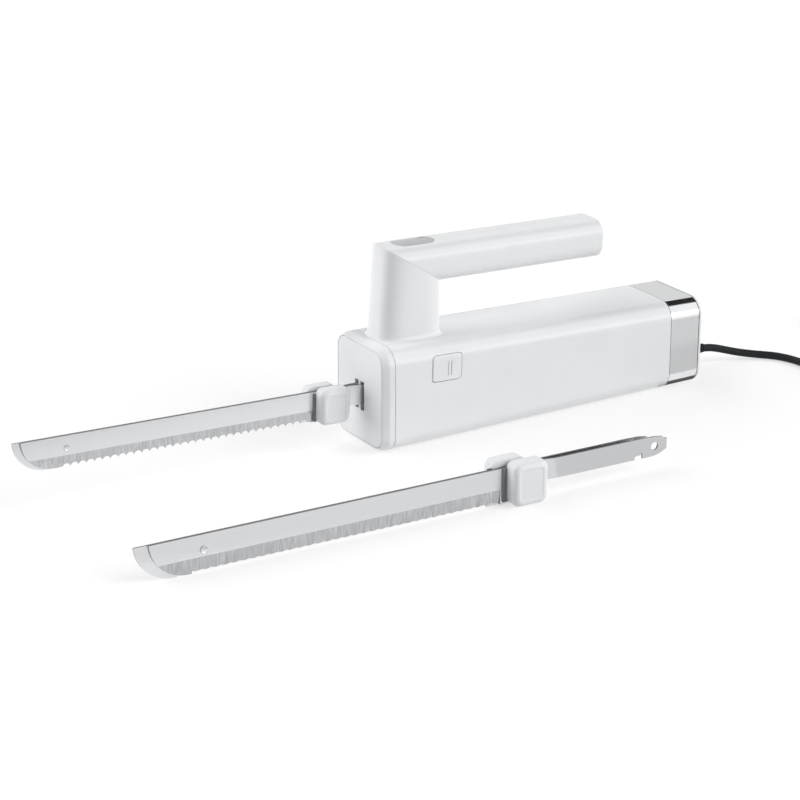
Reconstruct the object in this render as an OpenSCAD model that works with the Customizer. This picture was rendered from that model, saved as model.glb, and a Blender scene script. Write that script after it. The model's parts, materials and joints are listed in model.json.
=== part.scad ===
// Electric carving knife with two slim blade pairs, one fitted and one beside it.
// Millimetres. The origin is the centre of the body's flat base, the blades point to -X and Z is up.
// The body's top, the handle, the drive and the fitted blades lie in a frame that tips down to the rear.

/* [Body] */
// Length of the body from its front face to its rear face
body_len = 240; // [232:1:260]
// Width of the body
body_w = 55.3; // [54:0.1:62]
// Height of the body at its front face
body_h = 66; // [65:0.1:70]
// Height of the body at its rear face
rear_h = 57.3; // [57:0.1:60]
// Radius of the long edges of the body
edge_r = 11; // [8:0.5:13]
// Wall of the moulded shells
wall = 2.5; // [2:0.1:2.8]
// Depth of the cap round the front panel
cap_len = 8.5; // [8:0.1:10]
// Length of the chrome band
band_len = 22.5; // [18:0.5:25]
// Thickness of the rear cap
rear_cap_len = 2.9; // [2.5:0.1:4]

/* [Handle] */
// Height of the bar's middle over the body's top
bar_rise = 43.9; // [42:0.1:55]
// Half of the bar's width and height
bar_half = 13.2; // [12.5:0.1:15]
// Length of the bar from the post's front corner
bar_len = 156.5; // [120:0.5:165]
// Length of the post at its foot
post_len = 48.5; // [46:0.5:52]
// Travel of the power button
power_travel = 2.5; // [1.5:0.1:2.5]
// Travel of the blade release button
release_travel = 2.5; // [1.5:0.1:2.5]

/* [Blades] */
// Length of a fitted blade ahead of its guard
blade_len = 188.6; // [150:1:200]
// Height of a fitted blade
blade_h = 18.7; // [18:0.1:20]
// Thickness of every blade
blade_t = 1.1; // [0.9:0.05:1.2]
// Distance between the teeth of the fitted pair
tooth_pitch = 5; // [4:0.1:6]
// Depth of the scallops between the teeth
tooth_depth = 1.7; // [1:0.1:2]
// Length of a blade of the second pair ahead of its guard
spare_len = 218.7; // [180:1:230]
// Height of a blade of the second pair
spare_h = 22; // [21:0.1:23]
// Distance between the waves of the second pair's edge
wave_pitch = 5.7; // [5:0.1:7]
// Length of a tang behind its guard
tang_len = 87.6; // [86:0.1:88]
// Height of a tang
tang_h = 12.5; // [12:0.1:12.8]

/* [Drive] */
// Stroke of each blade, from end to end
stroke = 10; // [8:0.5:10]
// Pitch of the worm gear's teeth per turn of pi
gear_module = 0.8; // [0.7:0.05:0.8]
// Number of teeth on the worm gear
gear_teeth = 30; // [28:1:30]
// Radius of the motor's can
motor_r = 17.5; // [15:0.5:17.5]
// Length of the motor's can
motor_len = 52; // [40:1:54]

/* [Cord] */
// Diameter of the mains lead
cord_d = 5; // [4.5:0.1:5.2]
// Radius of the innermost turn of the wound lead
coil_inner_r = 20.8; // [20.8:0.1:24]
// Turns in each of the two layers of the wound lead
layer_turns = 3.25; // [2.25:1:3.25]

/* [Hidden] */
$fn = 48;

// Overrun of every cut, and the thin slabs that hulls join
cut = 0.5;
skin = 0.01;
// Gap along the seam of two mouldings, and the play of a sliding or turning piece
seam = 0.1;
play = 0.3;
running = 0.05;
press = 0.02;

// Slope of the body's top, and its height in the tipped frame
tilt = atan((body_h - rear_h) / body_len);
top_h = body_h * cos(tilt);

// Body seams, measured from the front face
band_x = body_len - rear_cap_len - band_len;
rear_x = body_len - rear_cap_len;
front_round = 2.6;
panel_rim = 2.45;
panel_t = 2.5;
chrome_t = 1.2;
band_lip = 6;

// Slots of the front panel, one each side of the divider
slot_y = 1.1;
slot_w = 4;
slot_h = 18.5;
slot_below = 10.2;

// Blade line in the tipped frame
edge_lift = 19.5;
guard_back = -12.4;
blade_gap = 0.1;
tang_mid_h = edge_lift + blade_h - tang_h / 2;
// Rest of each blade away from the middle of its stroke
rest_shift = 2.3;
tip_r = 20;
spare_tip_r = 23.5;
bevel_h = 7;
spare_bevel_h = 9.2;
edge_t = 0.15;
tooth_run = 160;
tooth_start = 3;
tooth_land = 0.3;
spare_step_h = 1.9;
wave_depth = 0.8;
wave_run = 194;
rivet_r = 1.65;
rivet_x = 160.4;
rivet_h = 11.2;
spare_rivet_r = 2;
spare_rivet_x = 186.6;
spare_rivet_h = 13;
rivet_head = 0.5;

// Guards, each a block with a low lip ahead of it, and how far the fitted ones reach below the edge's line
guard_len = 22;
guard_h = 22.3;
guard_w = 9.7;
guard_lip = 3;
guard_drop = 1.3;
spare_guard_len = 26.7;
spare_guard_h = 26;
spare_guard_w = 11.4;
spare_guard_lip = 3.8;
lip_t = 1.2;
lip_step = 3.5;
lip_foot = 1.3;
guard_corner = 3;
guard_round = 2.4;
panel_depth = 0.3;

// Tang
joggle_start = 1;
joggle_len = 10.5;
joggle_steps = 8;
tang_y = 1.55;
tang_hole_back = 8.7;
tang_hole_r = 2.5;
notch_back = 22.5;
notch_w = 5.4;
notch_h = 3.5;

// Second pair on the table, its tip turned a little from the body
spare_x = -172.2;
spare_y = -115.7;
spare_turn = -2.43;
spare_first = 217.35;
spare_shift = 8.4;

// Side button
release_x = 43.2;
release_h = 49.9;
release_w = 20.9;
release_tall = 16.5;
release_corner = 2.5;
release_proud = 0.5;
groove_w = 0.6;
groove_len = 9.6;
groove_gap = 1.7;
stem_r = 3;
flange_grow = 1.2;
flange_t = 1.5;

// Power button in the handle
button_x = 19.1;
button_len = 28;
button_half = 7;
button_nose = 7.85;
button_flange_h = 5.6;
button_play = 0.25;
button_lip = 0.9;

// Drive slides and their frame
slide_x = 22;
slide_len = 58;
slide_y = 0.4;
slide_w = 6.2;
slide_h = 19;
arm_w = 2;
yoke_w = 19.2;
yoke_h = 21;
axle_gap = 20;
axle_x = slide_x + slide_len + axle_gap;
axle_h = 22;
axle_r = 2.5;
crank_r = 2;
gear_w = 5;
cheek_y = 7;
cheek_t = 2.5;
flange_w = 2.4;
frame_x = 6;
frame_tail = 13;
frame_end = axle_x + frame_tail;
bridge_w = 4.8;
bridge_x = slide_x + slide_len + stroke / 2 + seam;
bush_r = 4.5;

// Worm, shaft and motor
gear_r = gear_module * gear_teeth / 2;
worm_r = 4;
worm_len = 17;
thread_foot_share = 0.223;
thread_tip_share = 0.122;
thread_steps = 12;
shaft_r = 2;
shaft_h = axle_h + gear_r + worm_r;
fan_w = 5;
fan_gap = 3;
fan_x = frame_end + fan_gap;
fan_r = 15;
fan_blades = 9;
motor_x = fan_x + fan_w + fan_gap;
can_t = 1.2;
bell_t = 2.5;
magnet_t = 3;
rotor_r = 11.5;
board_gap = 14;
board_x = motor_x + motor_len + board_gap;
board_t = 1.6;

// Lead: exit height, route in points along the table and the coil's place
exit_z = 11.5;
relief_len = 24;
relief_in = 9;
relief_r = 4.6;
relief_end_r = 3.3;
coil_x = 355;
coil_y = -75;
coil_gap = 0.6;
tie_t = 0.6;
tie_w = 6;
tail_len = 36;
coil_pitch = cord_d + coil_gap;
turn_blend = 0.01;
coil_outer_r = coil_inner_r + coil_pitch * sqrt(pow(layer_turns, 2) + turn_blend);
coil_z = cord_d / 2 + tie_t + play;
lead_route = [[264, 0, 11.5], [272, -0.5, 10.2], [280, -2, 7.7], [288, -4, 5.2], [296, -7, 3.5],
    [303, -11, 2.6], [308.5, -16, 2.5], [312.5, -22, 2.5], [315, -29, 2.5], [316.5, -37, 2.6],
    [316.8, -46, 2.8], [316.4, -56, 3.2]];

// Frames and plain shapes

module place() {
    translate([-body_len / 2, 0, 0])
        children();
}

module tipped() {
    place()
        rotate([0, tilt, 0])
            children();
}

// Left is the side of -Y
module on_side(side) {
    if (side == "left")
        mirror([0, 1, 0])
            children();
    else
        children();
}

module along_x(x0, length) {
    translate([x0, 0, 0])
        rotate([90, 0, 90])
            linear_extrude(length)
                children();
}

module along_y(y0, length) {
    translate([0, y0 + length, 0])
        rotate([90, 0, 0])
            linear_extrude(length)
                children();
}

module along_z(z0, length) {
    translate([0, 0, z0])
        linear_extrude(length)
            children();
}

module rod_x(x0, length, y, h, r) {
    translate([x0, y, h])
        rotate([0, 90, 0])
            cylinder(r = r, h = length);
}

module rod_y(x, h, y0, length, r) {
    translate([x, y0 + length, h])
        rotate([90, 0, 0])
            cylinder(r = r, h = length);
}

module rounded(w, h, r) {
    translate([r, 0])
        square([w - 2 * r, h]);
    translate([0, r])
        square([w, h - 2 * r]);
    for (x = [r, w - r], y = [r, h - r])
        translate([x, y])
            circle(r);
}

function smooth(t) = t * t * (3 - 2 * t);

// Points of a squarish oval
oval_power = 2.4;
function oval(a, b, count) = [for (i = [0 : count - 1])
    let (t = 360 * i / count, c = cos(t), s = sin(t))
    [a * sign(c) * pow(abs(c), 2 / oval_power), b * sign(s) * pow(abs(s), 2 / oval_power)]];

// Tube along points: rings square to the path, with end caps, as one closed polyhedron
function unit(v) = v / norm(v);
function tangent(path, i) = unit(path[min(i + 1, len(path) - 1)] - path[max(i - 1, 0)]);
function ring(path, i, r, sides) =
    let (t = tangent(path, i), a = unit(cross(t, [0, 0, 1])), b = cross(a, t))
    [for (k = [0 : sides - 1])
        let (turn = 360 * (k + 0.5) / sides)
        path[i] + r * (cos(turn) * a + sin(turn) * b)];
module tube(path, r, sides) {
    count = len(path);
    points = [for (i = [0 : count - 1]) each ring(path, i, r, sides)];
    walls = [for (i = [0 : count - 2], k = [0 : sides - 1])
        let (a = i * sides + k, b = i * sides + (k + 1) % sides)
        each [[a, b, b + sides], [a, b + sides, a + sides]]];
    first = [for (k = [1 : sides - 2]) [0, k + 1, k]];
    last = [for (k = [1 : sides - 2]) [0, k, k + 1] + (count - 1) * sides * [1, 1, 1]];
    polyhedron(points, concat(walls, first, last));
}

// Body

function body_top(x) = body_h - x * tan(tilt);

// Solid of the body between two seams, drawn in by inset on every long side
module body_prism(x0, x1, inset) {
    intersection() {
        along_x(x0, x1 - x0)
            translate([inset - body_w / 2, inset])
                rounded(body_w - 2 * inset, 2 * body_h, edge_r - inset);
        rotate([0, tilt, 0])
            along_x(-body_h, body_len + 2 * body_h)
                translate([inset - body_w / 2, top_h - inset - 2 * body_h])
                    rounded(body_w - 2 * inset, 2 * body_h, edge_r - inset);
    }
}

// Thin slice of the body at x, for hulls
module body_slice(x, inset) {
    along_x(x, skin)
        translate([inset - body_w / 2, inset])
            rounded(body_w - 2 * inset, body_top(x) - 2 * inset, edge_r - inset, $fn = 32);
}

module post_passage() {
    rotate([0, tilt, 0])
        along_z(top_h - 2 * wall, 4 * wall)
            translate([post_len / 2, 0])
                circle(bar_half / 2);
}

module release_outline(grow) {
    translate([release_x - release_w / 2 - grow, release_h - release_tall / 2 - grow])
        rounded(release_w + 2 * grow, release_tall + 2 * grow, release_corner + grow);
}

board_rib_h = 26;
board_rib_len = 7;
module board_ribs() {
    for (x = [board_x - play / 2 - can_t, board_x + board_t + play / 2])
        translate([x, body_w / 2 - wall - board_rib_len, body_h / 2 - board_rib_h / 2])
            cube([can_t, board_rib_len + wall / 2, board_rib_h]);
}

module housing(side) {
    difference() {
        union() {
            difference() {
                body_prism(cap_len + seam, band_x - seam, 0);
                body_prism(0, body_len, wall);
                body_prism(band_x - seam - band_lip, body_len, chrome_t);
            }
            body_ledge();
            for (turn = [0, 1])
                mirror([0, turn, 0])
                    board_ribs();
        }
        post_passage();
        rotate([0, tilt, 0])
            along_y(-body_w, body_w / 2 + 2 * wall)
                release_outline(play);
        // The other half
        translate([-cut, side == "left" ? -seam / 2 : seam / 2 - body_w, -body_h])
            cube([body_len, body_w, 3 * body_h]);
    }
}

// Inner collar that carries the chrome band
module body_ledge() {
    difference() {
        body_prism(band_x - 2 * band_lip, rear_x - seam, chrome_t + seam);
        body_prism(0, body_len, wall + chrome_t);
    }
}

module housing_left() {
    color("white")
        place()
            housing("left");
}

module housing_right() {
    color("white")
        place()
            housing("right");
}

module front_cap() {
    color("white")
        place()
            difference() {
                hull() {
                    body_slice(0, front_round);
                    body_slice(front_round * (1 - cos(30)), front_round * (1 - sin(30)));
                    body_slice(front_round * (1 - cos(60)), front_round * (1 - sin(60)));
                    body_slice(front_round, 0);
                    body_slice(cap_len - skin, 0);
                }
                body_prism(-cut, body_len, panel_rim);
            }
}

module front_plate() {
    color("whitesmoke")
        place()
            difference() {
                body_prism(skin, panel_t, panel_rim + seam);
                rotate([0, tilt, 0])
                    for (side = ["left", "right"])
                        on_side(side)
                            translate([-panel_t, slot_y, tang_mid_h - slot_below])
                                cube([3 * panel_t, slot_w, slot_h]);
            }
}

module chrome_band() {
    color("silver")
        place()
            difference() {
                body_prism(band_x, rear_x, 0);
                body_prism(0, body_len, chrome_t);
            }
}

rear_round = 2;
module end_cap() {
    color("white")
        place()
            difference() {
                union() {
                    hull() {
                        body_slice(rear_x + seam, 0);
                        body_slice(body_len - rear_round, 0);
                        body_slice(body_len - rear_round * (1 - sin(30)), rear_round * (1 - cos(30)));
                        body_slice(body_len - rear_round * (1 - sin(60)), rear_round * (1 - cos(60)));
                        body_slice(body_len - skin, rear_round);
                    }
                    difference() {
                        body_prism(rear_x - band_lip, rear_x + 2 * seam, wall + chrome_t + seam);
                        body_prism(0, rear_x + seam, wall + 2 * chrome_t + seam);
                    }
                }
                rod_x(body_len - 2 * rear_cap_len, 3 * rear_cap_len, 0, exit_z, relief_r);
            }
}

// Handle

bar_h = top_h + bar_rise;
post_front = 3.6;
lean = 5.5;
rear_lean = 1.6;
handle_round = 2.5;
handle_sides = 64;
mitre_x0 = post_front + lean;
mitre_x1 = post_front + post_len - rear_lean;
bar_end = mitre_x0 + bar_len;

module bar_slice(x, inset) {
    along_x(x, skin)
        translate([0, bar_h])
            polygon(oval(bar_half - inset, bar_half - inset, handle_sides));
}

module mitre_slice(inset) {
    reach = norm([mitre_x1 - mitre_x0, 2 * bar_half]) / 2 * (1 - inset / bar_half);
    translate([(mitre_x0 + mitre_x1) / 2, 0, bar_h])
        rotate([0, atan(2 * bar_half / (mitre_x1 - mitre_x0)), 0])
            along_z(-skin / 2, skin)
                polygon(oval(reach, bar_half - inset, handle_sides));
}

module foot_slice(inset, h) {
    along_z(h, skin)
        translate([post_front + post_len / 2, 0])
            polygon(oval(post_len / 2 * (1 - inset / bar_half), bar_half - inset, handle_sides));
}

module handle_form(inset) {
    hull() {
        foot_slice(inset, inset > 0 ? top_h - wall : top_h);
        mitre_slice(inset);
    }
    hull() {
        mitre_slice(inset);
        bar_slice(bar_end - handle_round - inset, inset);
        bar_slice(bar_end - handle_round / 2 - inset, inset + handle_round * (1 - cos(30)));
        bar_slice(bar_end - handle_round * (1 - sin(60)) - inset, inset + handle_round / 2);
        bar_slice(bar_end - skin - inset, inset + handle_round);
    }
}

module button_outline(grow) {
    nose = button_nose - sqrt(pow(button_nose, 2) - pow(button_half, 2));
    translate([button_x + nose, -button_half - grow])
        square([button_len - button_half - nose, 2 * (button_half + grow)]);
    translate([button_x + button_len - button_half, 0])
        circle(button_half + grow);
    intersection() {
        translate([button_x + button_nose, 0])
            circle(button_nose + grow);
        translate([button_x - button_nose, -button_half - grow])
            square([3 * button_nose, 2 * (button_half + grow)]);
    }
}

// Pegs of the left half that hold the switch
switch_x = 24;
switch_len = 20;
switch_w = 6.4;
switch_tall = 10;
switch_drop = 13.6;
switch_h = bar_h - switch_drop;
peg_r = 1.2;
peg_inset = 4;
plunger_len = 2.5;
module switch_pegs(y0, length, grow) {
    for (x = [switch_x + peg_inset, switch_x + switch_len - peg_inset])
        rod_y(x, switch_h + switch_tall / 3, y0, length, peg_r + grow);
}

module handle(side) {
    difference() {
        handle_form(0);
        handle_form(wall);
        along_z(bar_h, 2 * bar_half)
            button_outline(button_play);
        translate([-post_len, side == "left" ? -seam / 2 : seam / 2 - 2 * body_w, top_h - body_h])
            cube([2 * body_len, 2 * body_w, 3 * body_h]);
    }
}

module handle_left() {
    color("white")
        tipped() {
            handle("left");
            switch_pegs(-bar_half + wall / 2, bar_half - wall / 2 + switch_w / 4, 0);
        }
}

module handle_right() {
    color("white")
        tipped()
            handle("right");
}

button_flange_top = bar_h + button_flange_h;
spring_x = button_x + button_len / 2;
stem_len = button_flange_top - flange_t - (switch_h + switch_tall + plunger_len + power_travel + play);
module power_button() {
    color("silver")
        tipped() {
            intersection() {
                handle_form(0);
                along_z(button_flange_top - flange_t, bar_half)
                    button_outline(0);
            }
            along_z(button_flange_top - flange_t, flange_t)
                button_outline(button_lip);
            translate([spring_x, 0, button_flange_top - flange_t - stem_len])
                cylinder(r = stem_r / 2, h = stem_len + skin);
        }
}

spring_wire = 0.7;
spring_r = 2.9;
function helix(r, pitch, turns, steps, height) = [for (i = [0 : turns * steps])
    [r * cos(360 * i / steps), r * sin(360 * i / steps), height + pitch * i / steps]];
module power_spring() {
    low = switch_h + switch_tall + seam + spring_wire / 2;
    high = button_flange_top - flange_t - seam - spring_wire / 2;
    turns = 4;
    color("gray")
        tipped()
            translate([spring_x, 0, 0])
                tube(helix(spring_r, (high - low) / turns, turns, 8, low), spring_wire / 2, 5);
}

module microswitch() {
    color("dimgray")
        tipped() {
            difference() {
                translate([switch_x, -switch_w / 2, switch_h])
                    cube([switch_len, switch_w, switch_tall]);
                switch_pegs(-switch_w, 2 * switch_w, running);
            }
            translate([spring_x, 0, switch_h + switch_tall - skin])
                cylinder(r = peg_r, h = plunger_len + skin);
            for (x = [switch_x + switch_len / 6, switch_x + switch_len / 2, switch_x + switch_len * 5 / 6])
                translate([x - peg_r / 2, -switch_w / 6, switch_h - switch_w])
                    cube([peg_r, switch_w / 3, switch_w + skin]);
        }
}

// Blade release

module release_button() {
    outer = body_w / 2 + release_proud;
    flange_y = body_w / 2 - wall - play;
    stem_end = cheek_y + cheek_t + release_travel + play;
    color("white")
        tipped()
            mirror([0, 1, 0])
                difference() {
                    union() {
                        along_y(flange_y, outer - flange_y)
                            release_outline(0);
                        intersection() {
                            along_y(flange_y - flange_t, flange_t)
                                release_outline(flange_grow);
                            rotate([0, -tilt, 0])
                                body_prism(0, body_len, wall + play);
                        }
                        rod_y(release_x, release_h, stem_end + slide_w, flange_y - stem_end - slide_w,
                            stem_r);
                        // Finger that reaches down to the catches
                        translate([notch_x - notch_w / 2, stem_end, fork_h])
                            cube([notch_w, cheek_t, release_h + stem_r - fork_h]);
                        translate([notch_x - notch_w / 2, stem_end, release_h - stem_r])
                            cube([notch_w, slide_w + skin, 2 * stem_r]);
                        translate([notch_x - notch_w / 2, -slide_w, fork_h])
                            cube([notch_w, stem_end + slide_w + skin, cheek_t]);
                        translate([release_x, stem_end + slide_w, release_h - stem_r])
                            cube([notch_x - release_x, cheek_t, 2 * stem_r]);
                    }
                    for (x = [release_x + groove_gap / 2, release_x + 3 * groove_gap / 2])
                        translate([x - groove_w / 2, outer - groove_w, release_h - groove_len / 2])
                            cube([groove_w, 2 * groove_w, groove_len]);
                }
}

notch_x = guard_back + tang_len - notch_back + notch_w / 2;
fork_h = tang_mid_h - slide_h / 2 - 3 * cheek_t;
module release_spring() {
    low = cheek_y + cheek_t + seam + spring_wire / 2;
    high = body_w / 2 - wall - play - flange_t - release_travel - play - spring_wire / 2;
    turns = 5;
    color("gray")
        tipped()
            translate([release_x - 2 * stem_r - spring_r / 2, 0, release_h])
                rotate([90, 0, 0])
                    tube(helix(spring_r, (high - low) / turns, turns, 8, low), spring_wire / 2, 5);
}

// Drive

slide_low = tang_mid_h - slide_h / 2;
module slide(side) {
    shift = side == "left" ? rest_shift : -rest_shift;
    far_x = slide_x + slide_len;
    yoke_x = axle_x - yoke_w / 2;
    yoke_y = slide_y + slide_w - arm_w;
    tang_end = guard_back + tang_len - rest_shift;
    color("ivory")
        tipped()
            translate([shift, 0, 0])
                on_side(side)
                    difference() {
                        union() {
                            translate([slide_x, slide_y, slide_low])
                                cube([slide_len, slide_w, slide_h]);
                            translate([far_x - skin, yoke_y, slide_low + cheek_t])
                                cube([yoke_x - far_x + 2 * skin, arm_w, slide_w]);
                            translate([yoke_x, yoke_y, axle_h - yoke_h / 2])
                                cube([yoke_w, arm_w, yoke_h]);
                        }
                        // Pocket of the tang
                        translate([slide_x - cut, tang_y - play, tang_mid_h - tang_h / 2 - play])
                            cube([tang_end - slide_x + play + cut, blade_t + 2 * play, tang_h + 2 * play]);
                        // Recess of the catch
                        translate([notch_x - rest_shift - notch_w, tang_y - play, slide_low - cut])
                            cube([2 * notch_w, slide_y + slide_w, cut + wall]);
                        // Slot of the axle, and across it the slot of the crank
                        translate([axle_x - stroke / 2 - axle_r - play, 0, axle_h - axle_r - play])
                            cube([stroke + 2 * (axle_r + play), cheek_y, 2 * (axle_r + play)]);
                        translate([axle_x - crank_r - seam, 0, axle_h - stroke / 2 - crank_r - play])
                            cube([2 * (crank_r + seam), cheek_y, stroke + 2 * (crank_r + play)]);
                    }
}

module slide_left() {
    slide("left");
}

module slide_right() {
    slide("right");
}

// Spring catch under the tang, drawn let go
module catch_piece(side) {
    shift = side == "left" ? 0 : -2 * rest_shift;
    width = blade_t + play;
    color("gray")
        tipped()
            translate([shift, 0, 0])
                on_side(side)
                    translate([notch_x, tang_y + blade_t + play, slide_low]) {
                        translate([-notch_w + seam, 0, 0])
                            cube([2 * (notch_w - seam), width, cut]);
                        translate([-notch_w / 3, 0, 0])
                            cube([notch_w * 2 / 3, width, wall - play]);
                    }
}

module catch_left() {
    catch_piece("left");
}

module catch_right() {
    catch_piece("right");
}

// Start and length of the two walls that hold the bushes
bridges = [[bridge_x, bridge_w], [frame_end - bridge_w / 2, bridge_w / 2]];
leg_w = 9;
module frame_half(side) {
    low_rail = slide_low - play;
    low_edge = low_rail - flange_w;
    high_rail = slide_low + slide_h + play;
    wall_h = shaft_h + 2 * worm_r;
    intersection() {
        rotate([0, -tilt, 0])
            body_prism(0, body_len, wall + seam);
        on_side(side)
            difference() {
                union() {
                    along_y(cheek_y, cheek_t)
                        polygon([[frame_x, low_edge], [frame_x, -body_h], [frame_x + leg_w, -body_h],
                            [frame_x + 2 * leg_w, low_edge], [bridge_x, low_edge],
                            [axle_x - leg_w, -body_h], [frame_end, -body_h],
                            [frame_end, wall_h], [bridge_x, wall_h],
                            [bridge_x - flange_w, high_rail + flange_w], [frame_x, high_rail + flange_w]]);
                    // Ear behind the release spring
                    if (side == "left")
                        along_y(cheek_y, cheek_t)
                            translate([release_x - release_w / 2 - stem_r, high_rail])
                                square([release_w / 2 + stem_r, release_h + stem_r - high_rail]);
                    for (h = [low_edge, high_rail])
                        translate([frame_x, seam, h])
                            cube([bridge_x - frame_x - stroke / 2, cheek_y, flange_w]);
                    for (b = bridges)
                        translate([b[0], seam, shaft_h - worm_r - seam])
                            cube([b[1], cheek_y, worm_r + seam + wall_h - shaft_h]);
                }
                rod_x(frame_x, frame_end, 0, shaft_h, bush_r + press);
                rod_y(axle_x, axle_h, cheek_y - cut, cheek_t + 2 * cut, axle_r + press);
                // Room for the release finger
                translate([notch_x - notch_w, -cut, low_edge - cut])
                    cube([2 * notch_w, cheek_y, flange_w + 2 * cut]);
                frame_screw_holes(running);
            }
    }
}

// Screws through bosses over and under the slides
screw_r = 1.3;
screw_head_r = 2.6;
screw_head = 1.8;
screw_h = slide_low + slide_h + play + flange_w / 2;
screw_places = [frame_x + leg_w, slide_x + slide_len - leg_w];
module frame_screw_holes(grow) {
    reach = cheek_y + cheek_t + cut;
    for (x = screw_places)
        rod_y(x, screw_h, -reach, 2 * reach, screw_r / 2 + grow);
}

module frame_left() {
    color("lightgray")
        tipped()
            frame_half("left");
}

module frame_right() {
    color("lightgray")
        tipped()
            frame_half("right");
}

module frame_screws() {
    color("gray")
        tipped() {
            frame_screw_holes(0);
            for (x = screw_places)
                rod_y(x, screw_h, -cheek_y - cheek_t - screw_head, screw_head, screw_head_r / 2);
        }
}

pitch_angle = 360 / gear_teeth;
tooth_high = gear_module;
tooth_low = gear_module * 5 / 4;
tooth_foot_share = 0.75;
tooth_tip_share = 0.38;
module worm_gear() {
    color("ivory")
        tipped()
            difference() {
                union() {
                    translate([axle_x, gear_w / 2, axle_h])
                        rotate([90, 0, 0]) {
                            linear_extrude(gear_w)
                                gear_outline();
                        }
                    // Crank pins, half a turn apart, short of the yokes
                    for (turn = [0, 180])
                        translate([axle_x, 0, axle_h])
                            rotate([turn, 0, 0])
                                rod_y(0, stroke / 2, gear_w / 2 - skin, crank_len, crank_r);
                }
                rod_y(axle_x, axle_h, -gear_w, 2 * gear_w, axle_r + running);
            }
}

crank_len = slide_y + slide_w - arm_w - play - gear_w / 2 + skin;
module gear_outline() {
    root_r = gear_r - tooth_low;
    foot = gear_module * tooth_foot_share;
    tip = gear_module * tooth_tip_share;
    circle(root_r);
    for (i = [0 : gear_teeth - 1])
        rotate(90 + i * pitch_angle)
            polygon([[root_r - gear_module, -foot], [root_r, -foot], [gear_r + tooth_high, -tip],
                [gear_r + tooth_high, tip], [root_r, foot], [root_r - gear_module, foot]]);
}

module gear_axle() {
    color("silver")
        tipped()
            rod_y(axle_x, axle_h, -cheek_y - cheek_t, 2 * (cheek_y + cheek_t), axle_r);
}

// Worm: a helical thread on a core
worm_x = axle_x - worm_len / 2;
lead = PI * gear_module;
worm_core_r = worm_r - tooth_low;
module worm() {
    turns = (worm_len - lead) / lead;
    steps = floor(turns * thread_steps);
    half_foot = lead * thread_foot_share;
    half_tip = lead * thread_tip_share;
    path = [for (i = [0 : steps])
        [360 * i / thread_steps, axle_x + lead / 2 + lead * (i - steps / 2) / thread_steps]];
    section = [[-half_foot, worm_core_r - running], [half_foot, worm_core_r - running],
        [half_tip, worm_r + tooth_high], [-half_tip, worm_r + tooth_high]];
    shift = (ceil(steps / 2 / thread_steps) - steps / 2 / thread_steps) * 360;
    points = [for (p = path, q = section)
        let (turn = p[0] + shift - 90)
        [p[1] + q[0], q[1] * cos(turn), shaft_h + q[1] * sin(turn)]];
    sides = len(section);
    walls = [for (i = [0 : steps - 1], k = [0 : sides - 1])
        let (a = i * sides + k, b = i * sides + (k + 1) % sides)
        each [[a, b + sides, b], [a, a + sides, b + sides]]];
    last = steps * sides;
    color("silver")
        tipped()
            difference() {
                union() {
                    polyhedron(points, concat(walls, [[0, 1, 2], [0, 2, 3]],
                        [[last, last + 2, last + 1], [last, last + 3, last + 2]]));
                    rod_x(worm_x, worm_len, 0, shaft_h, worm_core_r);
                }
                rod_x(worm_x - cut, worm_len + 2 * cut, 0, shaft_h, shaft_r + press);
            }
}

module shaft_bushes() {
    rear_bell = motor_x + motor_len;
    color("peru")
        tipped() {
            for (b = concat(bridges, [[motor_x - bell_t, bell_t], [rear_bell, bell_t]]))
                difference() {
                    rod_x(b[0], b[1], 0, shaft_h, bush_r);
                    rod_x(b[0] - cut, b[1] + 2 * cut, 0, shaft_h, shaft_r + running);
                }
        }
}

module cooling_fan() {
    hub_r = 2 * shaft_r;
    color("dimgray")
        tipped()
            translate([fan_x, 0, shaft_h])
                rotate([0, 90, 0])
                    difference() {
                        union() {
                            cylinder(r = hub_r, h = fan_w);
                            cylinder(r = fan_r, h = can_t);
                            for (i = [0 : fan_blades - 1])
                                rotate(i * 360 / fan_blades)
                                    translate([hub_r - shaft_r / 2, -can_t / 2, 0])
                                        cube([fan_r - hub_r - shaft_r / 2, can_t, fan_w]);
                        }
                        translate([0, 0, -cut])
                            cylinder(r = shaft_r + press, h = fan_w + 2 * cut);
                    }
}

module motor_can() {
    color("silver")
        tipped()
            difference() {
                rod_x(motor_x, motor_len, 0, shaft_h, motor_r);
                rod_x(motor_x - cut, motor_len + 2 * cut, 0, shaft_h, motor_r - can_t);
            }
}

magnet_half_share = 0.62;
module motor_magnets() {
    inset = bell_t;
    outer = motor_r - can_t - press;
    color("dimgray")
        tipped()
            intersection() {
                difference() {
                    rod_x(motor_x + 2 * inset, motor_len - 4 * inset, 0, shaft_h, outer);
                    rod_x(motor_x, motor_len, 0, shaft_h, outer - magnet_t);
                }
                union()
                    for (side = ["left", "right"])
                        on_side(side)
                            translate([motor_x, outer * (1 - magnet_half_share), shaft_h - motor_r])
                                cube([motor_len, motor_r, 2 * motor_r]);
            }
}

module motor_bell(x0) {
    difference() {
        rod_x(x0, bell_t, 0, shaft_h, motor_r);
        rod_x(x0 - cut, bell_t + 2 * cut, 0, shaft_h, bush_r + press);
        for (i = [0 : 3])
            translate([x0 - cut, 0, shaft_h])
                rotate([45 + 90 * i, 0, 0])
                    translate([0, motor_r * 2 / 3, 0])
                        rotate([0, 90, 0])
                            cylinder(r = shaft_r, h = bell_t + 2 * cut);
    }
}

module motor_front_bell() {
    color("silver")
        tipped()
            motor_bell(motor_x - bell_t);
}

module motor_rear_bell() {
    color("dimgray")
        tipped()
            motor_bell(motor_x + motor_len);
}

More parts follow.
